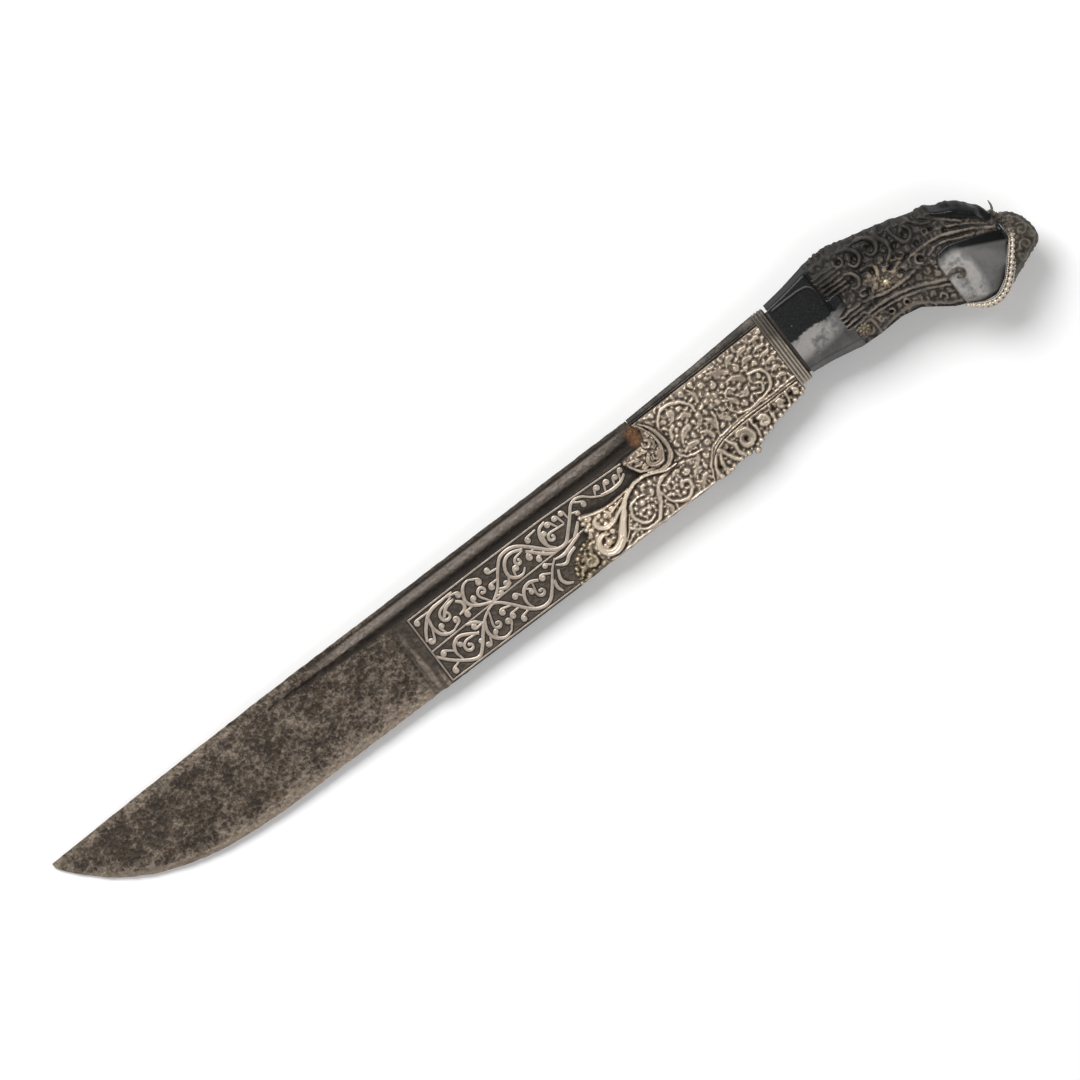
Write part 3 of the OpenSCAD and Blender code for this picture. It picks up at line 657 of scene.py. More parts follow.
@dataclass
class Shell:
    """A mesh in the making: points in the knife's frame, faces, and numbers for the finish."""

    points: Array
    faces: list
    marks: dict[str, Array] = field(default_factory=dict)

    def joined(self, *others: "Shell") -> "Shell":
        """This shell with others added to it.

        Args:
            others: the shells to add.
        Returns:
            One shell of them all.
        """
        points, faces, marks = [self.points], list(self.faces), {k: [v] for k, v in self.marks.items()}
        n = len(self.points)
        for other in others:
            points.append(other.points)
            faces += [tuple(i + n for i in face) for face in other.faces]
            for key, values in marks.items():
                values.append(other.marks.get(key, np.zeros(len(other.points))))
            n += len(other.points)
        return Shell(np.vstack(points), faces, {k: np.concatenate(v) for k, v in marks.items()})

    def turned(self) -> "Shell":
        """The shell with its faces the other way round, as a mirrored one needs."""
        return Shell(self.points, [tuple(reversed(face)) for face in self.faces], self.marks)

    def mirrored(self) -> "Shell":
        """The shell on the knife's other face."""
        return Shell(self.points * (1, 1, -1), self.faces, self.marks).turned()

    def faced(self, side: Side) -> "Shell":
        """The shell on the face that is asked for."""
        return self if side is Side.FRONT else self.mirrored()

    def make(self, name: str, material: Material, slot: str, *nodes: str,
             sharp: float = 42.0) -> bpy.types.Object:
        """Makes the piece, in place on the knife's one body.

        Args:
            name: the piece's name.
            material: what it is made of.
            slot: the record's material slot; not used.
            nodes: the CAD nodes that it stands for.
            sharp: an edge that turns by more than this many degrees stays crisp.
        Returns:
            The object.
        """
        mesh = bpy.data.meshes.new(name)
        mesh.from_pydata(PLACE.to_row(self.points).tolist(), [], self.faces)
        for key, values in self.marks.items():
            mesh.attributes.new(key, "FLOAT", "POINT").data.foreach_set("value", values.astype(np.float32))
        mesh.shade_smooth()
        mesh.set_sharp_from_angle(angle=math.radians(sharp))
        mesh.materials.append(material)
        piece = placed(name, mesh)
        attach(piece, "root")
        if nodes:
            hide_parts(*nodes)
        log.info("%s: %d points, %d faces", name, len(mesh.vertices), len(mesh.polygons))
        return piece


def loft(rings: Array, marks: Array | None = None) -> Shell:
    """A closed solid through rings of as many points each, its faces outward.

    Args:
        rings: an array of rings, points and three numbers.
        marks: a height for each point, or nothing.
    Returns:
        The solid.
    """
    m, n = rings.shape[:2]
    index = np.arange(m * n).reshape(m, n)
    a, b = index[:-1], np.roll(index[:-1], -1, axis=1)
    c, d = np.roll(index[1:], -1, axis=1), index[1:]
    faces = [tuple(f) for f in np.stack((a, b, c, d), -1).reshape(-1, 4).tolist()]
    faces += [tuple(reversed(index[0].tolist())), tuple(index[-1].tolist())]
    found = {} if marks is None else {"relief": marks.reshape(-1)}
    return outward(Shell(rings.reshape(-1, 3), faces, found))


def outward(shell: Shell) -> Shell:
    """The shell with its faces outward, judged by its volume.

    Args:
        shell: a closed shell.
    Returns:
        The same shell, or one that is turned round.
    """
    p = shell.points - shell.points.mean(0)
    volume = 0.0
    for face in shell.faces:
        a = p[face[0]]
        for b, c in zip(face[1:-1], face[2:]):
            volume += float(np.dot(a, np.cross(p[b], p[c])))
    return shell if volume > 0 else shell.turned()


class Relief:
    """A height map over part of the side view, in millimetres."""

    def __init__(self, x: Sequence[float], y: Sequence[float], step: float, warp: float = 0.0) -> None:
        """Starts flat and empty; forms drawn on it waver by the warp, as hand work does.

        Args:
            x: lowest and highest place along the knife.
            y: lowest and highest place across it.
            step: the map's pitch.
            warp: how far drawn forms waver.
        """
        self.xs, self.ys = (np.arange(low, high + step / 2, step) for low, high in (x, y))
        self.x, self.y = np.meshgrid(self.xs, self.ys, indexing="ij")
        self.u, self.v = (axis + warp * (soft_noise(self.x, self.y, 1.5, seed)
                                         + 0.6 * soft_noise(self.x, self.y, 0.7, seed + 2))
                          for axis, seed in ((self.x, 31), (self.y, 32)))
        self.height = np.zeros_like(self.x)
        self.clear = np.full_like(self.x, 30.0)

    def stroke(self, path: Path, radii: Sequence[float], rise: float, groove: float = 0.0,
               power: float = 0.5) -> None:
        """Raises a rounded stroke along a path.

        Args:
            path: its points.
            radii: its half widths, from start to end.
            rise: its height.
            groove: how deep its middle is cut, as a share of its height.
            power: 0.5 rounds it like a wire, and less flattens it.
        """
        p = np.asarray(path, float)
        reach = max(radii) + 2.0
        i0, i1 = np.searchsorted(self.xs, (p[:, 0].min() - reach, p[:, 0].max() + reach))
        j0, j1 = np.searchsorted(self.ys, (p[:, 1].min() - reach, p[:, 1].max() + reach))
        if i1 <= i0 or j1 <= j0:
            return
        x, y = self.u[i0:i1, j0:j1], self.v[i0:i1, j0:j1]
        r = np.interp(np.linspace(0, 1, len(p)), np.linspace(0, 1, len(radii)), radii)
        gap, share = np.full(x.shape, 1e9), np.full(x.shape, 9.0)
        for k in range(len(p) - 1):
            far, t = to_segment(x, y, p[k], p[k + 1])
            radius = np.maximum(r[k] + (r[k + 1] - r[k]) * t, 0.02)
            closer = far - radius < gap
            gap, share = np.where(closer, far - radius, gap), np.where(closer, far / radius, share)
        dome = np.maximum(1 - share**2, 0) ** power
        dome *= 1 - groove * bump(share, 0.3)
        part = (slice(i0, i1), slice(j0, j1))
        self.height[part] = np.maximum(self.height[part], rise * dome)
        self.clear[part] = np.minimum(self.clear[part], gap)

    def ball(self, x: float, y: float, radius: float, rise: float) -> None:
        """Raises a ball."""
        self.stroke([(x, y), (x + 0.01, y)], (radius, radius), rise)

    def strokes(self, forms: Iterable[Stroke], rise: float, groove: float = 0.0) -> None:
        """Raises a smooth stroke for each path and its half widths."""
        for path, radii in forms:
            self.stroke(smooth(path), radii, rise, groove)

    def balls(self, places: Iterable[Sequence[float]], rise: float) -> None:
        """Raises a ball for each place and radius."""
        for x, y, radius in places:
            self.ball(x, y, radius, rise)

    def leaf(self, start: Sequence[float], end: Sequence[float], width: float, rise: float,
             bend: float = 0.0) -> None:
        """Raises a leaf with a cut vein.

        Args:
            start: its foot.
            end: its tip.
            width: its half width.
            rise: its height.
            bend: how far it bows to its left, in millimetres.
        """
        a, b = np.asarray(start, float), np.asarray(end, float)
        d = b - a
        t = np.linspace(0, 1, 11)[:, None]
        side = np.array([-d[1], d[0]]) / max(np.linalg.norm(d), 1e-6)
        arc = a + d * t * 0.9 + side * (bend + math.copysign(0.45 * width, bend)) * np.sin(math.pi * t)
        self.stroke(arc, [width * share for share in (0.28, 0.5, 0.78, 0.92, 0.8)], rise, groove=0.2)
        lobe = arc[4] - side * math.copysign(0.95 * width, bend)
        self.ball(lobe[0], lobe[1], 0.5 * width, rise * 0.85)

    def motif(self, kind: Motif, x: float, y: float, radius: float, rise: float, turn: float) -> None:
        """Raises one of the small forms that fill the ground.

        Args:
            kind: which form.
            x: its middle, along the knife.
            y: its middle, across it.
            radius: half its size.
            rise: its height.
            turn: its direction, in radians.
        """
        d = np.array([math.cos(turn), math.sin(turn)])
        if kind is Motif.BALL:
            self.ball(x, y, radius, rise)
        elif kind is Motif.LEAF:
            p = np.array([x, y])
            self.leaf(p - d * radius * 1.1, p + d * radius * 0.9, radius * 0.66, rise, radius * 0.3)
        else:
            way = 1 if math.sin(turn * 7) > 0 else -1
            self.stroke(spiral((x, y), radius * 0.74, radius * 0.12, math.degrees(turn), way * 1.15),
                        (radius * 0.2, radius * 0.32, radius * 0.36), rise)

    def fill(self, mask: Array, seed: int, least: float, most: float, rise: float,
             kinds: Sequence[Motif] = (Motif.CURL, Motif.LEAF, Motif.BALL), gap: float = 0.12) -> None:
        """Packs the free ground with small forms, the largest first.

        Args:
            mask: where they may stand.
            seed: sets the random draws.
            least: smallest radius.
            most: largest radius.
            rise: their height.
            kinds: the forms for large, middling and small places.
            gap: ground left round each.
        """
        rng = np.random.default_rng(seed)
        for _ in range(1400):
            room = np.where(mask, self.clear, 0.0)
            k = int(np.argmax(room))
            free = float(room.flat[k])
            if free < least:
                break
            radius = min(free, most)
            size = (radius - least) / max(most - least, 1e-6)
            kind = kinds[0] if size > 0.62 else kinds[1] if size > 0.22 else kinds[2]
            x, y = float(self.u.flat[k]), float(self.v.flat[k])
            high = rise * (0.75 + 0.25 * rng.random())
            self.motif(kind, x, y, radius - gap, high, rng.uniform(0, 2 * math.pi))
            self.clear = np.minimum(self.clear, np.hypot(self.u - x, self.v - y) - (radius - gap) * 0.95)

    def tone(self, spread: float = 0.55, span: float = 0.5) -> Array:
        """How far each place stands over its surroundings, for the finish to read.

        Args:
            spread: how wide the surroundings are, in millimetres.
            span: the difference in height between the deepest crevice and the highest crest.
        Returns:
            0 in a crevice, 0.5 on open ground and 1 on a crest.
        """
        return np.clip(0.5 + (self.height - self.blurred(self.height, spread)) / span, 0, 1)

    def blurred(self, values: Array, spread: float) -> Array:
        """Values of the map, each averaged with its surroundings.

        Args:
            values: what to average.
            spread: how wide the surroundings are, in millimetres.
        Returns:
            The averages.
        """
        step = self.xs[1] - self.xs[0]
        half = max(int(3 * spread / step), 1)
        kernel = np.exp(-0.5 * (np.arange(-half, half + 1) * step / spread) ** 2)
        kernel /= kernel.sum()
        for axis in (0, 1):
            pads = [(half, half) if axis == k else (0, 0) for k in (0, 1)]
            padded = np.pad(values, pads, mode="edge")
            values = np.apply_along_axis(np.convolve, axis, padded, kernel, "valid")
        return values

    def wear(self, spread: float) -> None:
        """Eases the map's forms, as long handling does."""
        self.height = self.blurred(self.height, spread)

    def sample(self, values: Array, x: Array, y: Array) -> Array:
        """Values of the map at other points.

        Args:
            values: a number for each point of the map.
            x: places along the knife.
            y: places across it.
        Returns:
            The values there.
        """
        u = np.clip((x - self.xs[0]) / (self.xs[1] - self.xs[0]), 0, len(self.xs) - 1.001)
        v = np.clip((y - self.ys[0]) / (self.ys[1] - self.ys[0]), 0, len(self.ys) - 1.001)
        i, j = u.astype(int), v.astype(int)
        s, t = u - i, v - j
        return ((values[i, j] * (1 - s) + values[i + 1, j] * s) * (1 - t)
                + (values[i, j + 1] * (1 - s) + values[i + 1, j + 1] * s) * t)

    def solid(self, within: Array, top: Array, low: Array | float, lift: Lift,
              shade: Array | None = None) -> Shell:
        """A closed solid of the map, cut to an outline.

        Args:
            within: signed distance to the outline, positive inside.
            top: height of its upper surface.
            low: height of its underside.
            lift: lays drawn points and heights in the knife's frame.
            shade: the number that the finish reads, or nothing for the map's height as a share.
        Returns:
            The solid.
        """
        cells = np.maximum.reduce([within[:-1, :-1], within[1:, :-1], within[1:, 1:], within[:-1, 1:]]) > 0
        used = np.zeros(within.shape, bool)
        for di, dj in ((0, 0), (1, 0), (1, 1), (0, 1)):
            used[di:di + cells.shape[0], dj:dj + cells.shape[1]] |= cells
        gx, gy = np.gradient(within, self.xs, self.ys)
        size = np.maximum(np.hypot(gx, gy), 1e-6)
        out = np.minimum(within, 0)
        x, y = (self.x - out * gx / size)[used], (self.y - out * gy / size)[used]
        n = int(used.sum())
        index = np.full(within.shape, -1)
        index[used] = np.arange(n)
        quads = np.stack((index[:-1, :-1], index[1:, :-1], index[1:, 1:], index[:-1, 1:]), -1)
        upper = quads[cells]
        padded = np.pad(cells, 1)
        walls = []
        for corner, (di, dj) in enumerate(((0, -1), (1, 0), (0, 1), (-1, 0))):
            next_cell = padded[1 + di:1 + di + cells.shape[0], 1 + dj:1 + dj + cells.shape[1]]
            edge = quads[cells & ~next_cell]
            a, b = edge[:, corner], edge[:, (corner + 1) % 4]
            walls.append(np.stack((b, a, a + n, b + n), 1))
        faces = np.vstack([upper, upper[:, ::-1] + n] + walls)
        low = np.broadcast_to(low, within.shape)
        points = np.vstack((lift(x, y, top[used]), lift(x, y, low[used])))
        if shade is None:
            shade = self.height / max(float(self.height.max()), 1e-6)
        marks = {"relief": np.concatenate((shade[used], np.zeros(n)))}
        return Shell(points, [tuple(f) for f in faces.tolist()], marks)


# Finishes


@dataclass(frozen=True)
class PittedSteel:
    """Old forged steel: brown patina, paler pitted patches and edge, a little rust, and painted shade and
    highlights.
    """

    dark: Colour = (0.039, 0.03, 0.0235)
    plain: Colour = (0.08, 0.061, 0.045)
    pale: Colour = (0.31, 0.25, 0.194)
    rust: Colour = (0.13, 0.08, 0.043)
    ground: Colour = (0.07, 0.058, 0.048)
    # Painted highlight along the rib.
    bright: Colour = (0.29, 0.25, 0.217)
    # Dark grime and painted shade: the fuller, its run-out, the step's foot, the cut lines, and the blade
    # round the plates' front edge.
    grime: Colour = (0.025, 0.0197, 0.0158)
    brown: Colour = (0.21, 0.108, 0.056)
    rust_spot: Spot = (62.0, -24.0, 3.0, 2.2)
    # A painted highlight on the rise of the forte's step, and a painted shadow at its foot.
    step_light: Spot = (116.8, -22.0, 1.2, 9.0)
    step_light_low: Spot = (119.4, -27.0, 0.9, 4.0)
    step_light_high: Spot = (116.4, -12.0, 0.8, 4.0)
    step_shadow: Spot = (114.6, -18.0, 0.6, 13.0)
    fuller_end: Spot = (203.0, -5.1, 3.6, 4.2)

    def material(self) -> Material:
        """Makes the material.

        Returns:
            The material.
        """
        s = Shade("forged_steel")
        x, y = s.axis("X"), s.axis("Y")
        edge, grime, rib = s.mark("edge"), s.mark("grime"), s.mark("rib")
        broad, curd = s.noise(9.0, 3.0, 0.6), s.noise(2.1, 6.0, 0.76, 31.0)
        grit, streak = s.noise(0.7, 3.0, 0.75, 9.0), s.noise(2.2, 4.0, 0.65, 5.0, (0.12, 1.0, 1.0))
        cells = s.pits(1.5).between(0.2, 0.75)
        tip_back = (y + 5.0).between(0.0, 3.0) * (1.0 - x.between(50.0, 80.0))
        worn = curd * 0.46 + grit * 0.3 + broad * 0.24
        base = s.mix(worn.between(0.38, 0.6), self.dark, self.plain)
        zone = x.between(26.0, 56.0) * 0.03 + x.between(80.0, 108.0) * 0.012
        zone = zone - (1.0 - x.between(8.0, 30.0)) * 0.035
        pale = worn + (cells - 0.5) * 0.07 + edge * (0.14 + x.between(3.0, 12.0) * 0.2)
        pale = pale + tip_back * 0.1 + zone
        pale = pale.between(0.48, 0.72) * (0.38 + grit * 1.1)
        base = s.mix(pale.clamp(), base, self.pale)
        rusty = s.noise(4.0, 3.0, 0.6, 77.0).between(0.56, 0.7) * 0.5 + s.blob(*self.rust_spot) * 0.7
        base = s.mix((rusty * grit.between(0.35, 0.6)).clamp(), base, self.rust)
        forte = x.between(111.0, 118.0)
        ground = s.mix(streak.between(0.4, 0.65) * 0.5, self.ground, self.plain)
        base = s.mix(forte * 0.85, base, ground)
        # Painted highlight on the step's rise.
        stripe = s.blob(*self.step_light) + s.blob(*self.step_light_low)
        stripe = stripe + s.blob(*self.step_light_high) * 0.4
        base = s.mix((stripe * curd.between(0.3, 0.55)).clamp() * 0.8, base, self.pale)
        # Painted shadow at the step's foot.
        base = s.mix(s.blob(*self.step_shadow) * 0.6, base, self.grime)
        # Painted highlight along the rib.
        base = s.mix((rib * (0.4 + streak)).clamp() * 0.8, base, self.bright)
        # Painted shade and grime, from the blade's marks.
        base = s.mix((grime * (0.75 + streak * 0.55)).clamp(), base, self.grime)
        end = s.blob(*self.fuller_end)
        # Painted shade in the fuller's run-out.
        run_out = x.between(188.0, 203.0) * (y + 8.0).between(0.0, 1.2) * (1.0 - y.between(-3.0, -1.8))
        base = s.mix((run_out * 0.75).clamp(), base, self.grime)
        base = s.mix((end * grit.between(0.25, 0.55) * 1.4).clamp(), base, self.brown)
        rough = 0.62 - worn * 0.2 + grime * 0.3 - rib * 0.06
        height = curd * 0.45 + grit * 0.3 + cells * 0.25
        return s.done(base, rough, 0.5 - grime.clamp() * 0.45, height, 0.85, Specular_IOR_Level=0.3)


@dataclass(frozen=True)
class Metal:
    """Worn silver or brass: bright on its crests, tarnished between, black in its crevices."""

    name: str
    bright: Colour
    middle: Colour
    deep: Colour
    rough: float = 0.38
    metal: float = 0.5
    tarnish: float = 0.3
    aged: tuple[float, float, float] = (0.0, 0.0, 0.0)
    age_tint: Colour = (0.72, 0.71, 0.7)

    def material(self) -> Material:
        """Makes the material.

        Returns:
            The material.
        """
        s = Shade(self.name)
        cloud, fine = s.noise(6.0, 3.0, 0.6, 5.0), s.noise(0.7, 3.0, 0.65, 13.0)
        tone = s.mark("relief") + (fine - 0.5) * 0.45 + (cloud - 0.5) * self.tarnish
        base = s.mix(tone.between(0.1, 0.44), self.deep, self.middle)
        base = s.mix(tone.between(0.55, 0.9), base, self.bright)
        start, end, share = self.aged
        if share:
            grey = s.mix(1.0, base, self.age_tint, "MULTIPLY")
            base = s.mix(s.axis("X").between(start, end) * share, base, grey)
        rough = self.rough + (1.0 - tone.clamp()) * 0.2 + (fine - 0.5) * 0.2
        return s.done(base, rough, self.metal, fine * 0.7 + cloud * 0.3, 0.05)


@dataclass(frozen=True)
class PlainMetal:
    """Tarnished metal cut with a lattice of crossed lines, and fine scratches along the knife."""

    name: str
    light: Colour
    dark: Colour
    rough: float = 0.42
    metal: float = 0.6
    cut: Colour = (0.006, 0.005, 0.004)
    grain: Colour = (0.15, 1.0, 1.0)
    lattice: float = 2.4

    def material(self) -> Material:
        """Makes the material.

        Returns:
            The material.
        """
        s = Shade(self.name)
        cloud, scratch = s.noise(3.5, 4.0, 0.65, 3.0), s.noise(0.45, 2.0, 0.6, 8.0, self.grain)
        turn = 2 * math.pi / self.lattice
        x, z = s.axis("X"), s.axis("Z")
        crossed = ((x + z) * turn).sine() * ((x - z) * turn).sine()
        base = s.mix((cloud * 0.5 + scratch * 0.5).between(0.36, 0.64), self.dark, self.light)
        base = s.mix(crossed.between(-0.1, 0.4) * 0.75 + 0.25, self.cut, base)
        return s.done(base, self.rough + (cloud - 0.5) * 0.3, self.metal, crossed * 0.8 + scratch * 0.2, 0.2)


@dataclass(frozen=True)
class Horn:
    """Black horn: polished facets with pale cloudy wear and a painted sheen of reflected light, and worn
    brown carving with painted shade above and painted light below.
    """

    black: Colour = (0.003, 0.0034, 0.0034)
    # cloud, grey and dim paint the sheen of reflected light on the bulb and the lower facet, with some real
    # clouding.
    cloud: Colour = (0.37, 0.354, 0.338)
    grey: Colour = (0.15, 0.147, 0.142)
    dim: Colour = (0.055, 0.05, 0.047)
    deep: Colour = (0.004, 0.0035, 0.003)
    brown: Colour = (0.034, 0.028, 0.0225)
    crest: Colour = (0.205, 0.166, 0.131)
    worn: Colour = (0.3, 0.235, 0.165)
    # Painted sheen, partly real wear, on the bulb and the lower facet.
    bulb_sheen_and_wear: Spot = (302.4, -25.5, 6.4, 13.0)
    belly_sheen_and_wear: Spot = (258.0, -13.5, 15.0, 5.0)
    specks: Spot = (260.5, -5.0, 7.0, 4.0)
    lit_carving: Spot = (277.0, -4.0, 6.0, 6.0)
    golden_wear: Spot = (285.4, -11.6, 7.4, 5.6)

    def material(self) -> Material:
        """Makes the material.

        Returns:
            The material.
        """
        s = Shade("black_horn")
        carved, relief = s.mark("carved"), s.mark("relief")
        broad, fine = s.noise(5.5, 5.0, 0.62, 21.0), s.noise(1.1, 4.0, 0.7, 2.0)
        grit = s.noise(0.5, 2.0, 0.6, 44.0)
        x, y = s.axis("X"), s.axis("Y")
        # Painted reflection: grey sheen and pale cloud on the bulb and the lower facet, partly real wear; the
        # wedge keeps the bulb's top black.
        bulb = x.between(298.6, 299.6) * (1.0 - y.between(-19.6, -16.0))
        low = (y * -1.0 + (fine - 0.5) * 1.6 + (broad - 0.5) * 3.0).between(10.4, 11.3)
        low = low * (1.0 - x.between(268.0, 273.0))
        pale = bulb * (s.blob(*self.bulb_sheen_and_wear) * 1.7).clamp()
        pale = pale + low * (s.blob(*self.belly_sheen_and_wear) * 0.85)
        pale = (pale * (broad * 0.7 + fine * 0.3).between(0.36, 0.56)).clamp()
        wedge = (y + 16.7 + (x - 304.5) * 0.5).between(-0.9, 0.3)
        grey = ((bulb + low * 0.6) * (1.0 - wedge)).clamp()
        speck = (1.0 - s.pits(1.7).between(0.05, 0.2)) * s.blob(*self.specks)
        speck = speck * grit.between(0.5, 0.62)
        sheen_grey = s.mix(broad.between(0.35, 0.65) * 0.5, self.grey, self.dim)
        base = s.mix(grey * 0.95, self.black, sheen_grey)
        base = s.mix((pale * (0.7 + fine * 0.5) + speck * 0.9).clamp(), base, self.cloud)
        tone = relief * 0.84 + 0.08 + (fine - 0.5) * 0.85 + (broad - 0.5) * 0.6
        # Painted light: the lower carving lighter, and painted shade darkening the upper carving.
        tone = tone + (1.0 - y.between(-21.0, -16.0)) * 0.14
        shade = 1.0 - y.between(-13.0, -6.5) * 0.9 * (1.0 - s.blob(*self.lit_carving) * 0.5)
        cut = s.mix(tone.between(0.25, 0.55) * (shade * 0.45 + 0.55), self.deep, self.brown)
        cut = s.mix((tone.between(0.5, 0.88) * shade).clamp(), cut, self.crest)
        golden = (s.blob(*self.golden_wear) * 1.3).clamp() * fine.between(0.3, 0.62)
        cut = s.mix((golden * (tone + shade * 0.1).between(0.4, 0.95)).clamp(), cut, self.worn)
        base = s.mix(carved, base, cut)
        rough = carved * 0.2 + 0.26 + pale * 0.3 + (fine - 0.5) * 0.12
        height = fine * carved + grit * 0.3 + broad * 0.15
        return s.done(base, rough, 0.0, height, 0.1, Specular_IOR_Level=0.28)


@dataclass(frozen=True)
class Soft:
    """A plain dull stuff, such as a washer's leather or resin."""

    name: str
    light: Colour
    dark: Colour
    rough: float = 0.6

    def material(self) -> Material:
        """Makes the material.

        Returns:
            The material.
        """
        s = Shade(self.name)
        grain = s.noise(0.8, 4.0, 0.7)
        base = s.mix(grain.between(0.3, 0.7), self.dark, self.light)
        return s.done(base, self.rough + (grain - 0.5) * 0.2, 0.0, grain, 0.08)


# Bright, middle and deep tones of the chased metals
SILVER = ((0.78, 0.66, 0.52), (0.315, 0.254, 0.196), (0.058, 0.044, 0.033))
GOLDEN = ((0.62, 0.52, 0.36), (0.235, 0.188, 0.128), (0.04, 0.029, 0.018))
FINISHES = {
    "blade_steel": PittedSteel(),
    "inlay_silver": Metal("inlaid_silver", (0.53, 0.445, 0.37), (0.28, 0.232, 0.19), (0.022, 0.018, 0.014),
                          tarnish=0.55),
    "chased_silver": Metal("chased_silver", *SILVER, aged=(206.0, 232.0, 0.6)),
    "plain_silver": Metal("plain_silver", (0.45, 0.385, 0.315), (0.125, 0.107, 0.088), (0.018, 0.015, 0.012),
                          tarnish=0.5),
    "golden_brass": Metal("golden_brass", *GOLDEN),
    "pale_brass": Metal("pale_brass", (0.72, 0.61, 0.475), (0.3, 0.245, 0.19), (0.05, 0.038, 0.028)),
    "strip_brass": PlainMetal("strip_brass", (0.12, 0.094, 0.06), (0.03, 0.0245, 0.018), 0.5),
    "washer_leather": Soft("washer_leather", (0.04, 0.028, 0.02), (0.012, 0.009, 0.007)),
    "horn": Horn(),
    "bezel_silver": Metal("bezel_silver", (0.66, 0.58, 0.48), (0.2, 0.17, 0.14), (0.03, 0.025, 0.02),
                          tarnish=0.5),
    "cap_silver": Metal("cap_silver", (0.185, 0.158, 0.12), (0.064, 0.054, 0.04), (0.018, 0.015, 0.012),
                        0.45),
    "lac_resin": Soft("lac_resin", (0.14, 0.055, 0.03), (0.07, 0.025, 0.015), 0.5),
}


# The grip's stations, from its front to the end of its bulb: back point, belly point, half thickness
STATIONS = (
    ((254, 2.3), (254, -21), 7.3), ((260, 3.1), (260, -21.8), 7.6), ((267.6, 4.5), (267.4, -23.3), 8),
    ((268.6, 4.8), (268.4, -23.6), 8.6), ((276, 5.2), (275, -23.9), 9.1), ((284, 3.2), (282.5, -23.6), 9.4),
    ((292, 1.3), (288.4, -24.8), 9.6), ((299, -0.9), (292.6, -27.8), 9.7), ((306, -3), (296.2, -30.4), 9.8),
    ((312.5, -6.9), (298, -31.2), 9.9), ((317, -11.4), (298.8, -31.5), 9.9),
    ((318.4, -15.6), (299.6, -31.9), 9.9), ((319.7, -19.7), (303.6, -34.2), 9.6),
    ((319.5, -22.7), (307.6, -34.8), 9), ((318.3, -25.3), (312, -32.3), 8.2))
BACKS = np.array([s[0] for s in STATIONS], float)
BELLIES = np.array([s[1] for s in STATIONS], float)
HALVES = np.array([s[2] for s in STATIONS], float)
SECTION = np.array([(0, 0.42), (0.07, 0.8), (0.57, 1), (0.93, 0.8), (1, 0.42)])
TANG_HALF = 2.25
# Where plates and strip begin and the forte ends, the strip's lower edge at both, and the forte's lower rim
PLATES_FROM = 203.3
FORTE_END = 247.8
STRIP_LOW = (-1.8, -0.9)
LOWER_RIM = -29.15
CHOIL = smooth([(213, -29.2), (214.6, -27), (216.6, -23.6), (221, -21), (228, -20.3), (247.8, -19.9)], 5)


def prism(outline: Array, half: float) -> Shell:
    """A slab of an outline, as thick on one side of the middle plane as on the other.

    Args:
        outline: its corners in the side view.
        half: half its thickness.
    Returns:
        The slab.
    """
    n = len(outline)
    points = np.vstack([np.column_stack((outline, np.full(n, z))) for z in (half, -half)])
    faces = [tuple(range(n)), tuple(range(2 * n - 1, n - 1, -1))]
    faces += [(k, (k + n), (k + 1) % n + n, (k + 1) % n) for k in range(n)]
    return outward(Shell(points, faces))


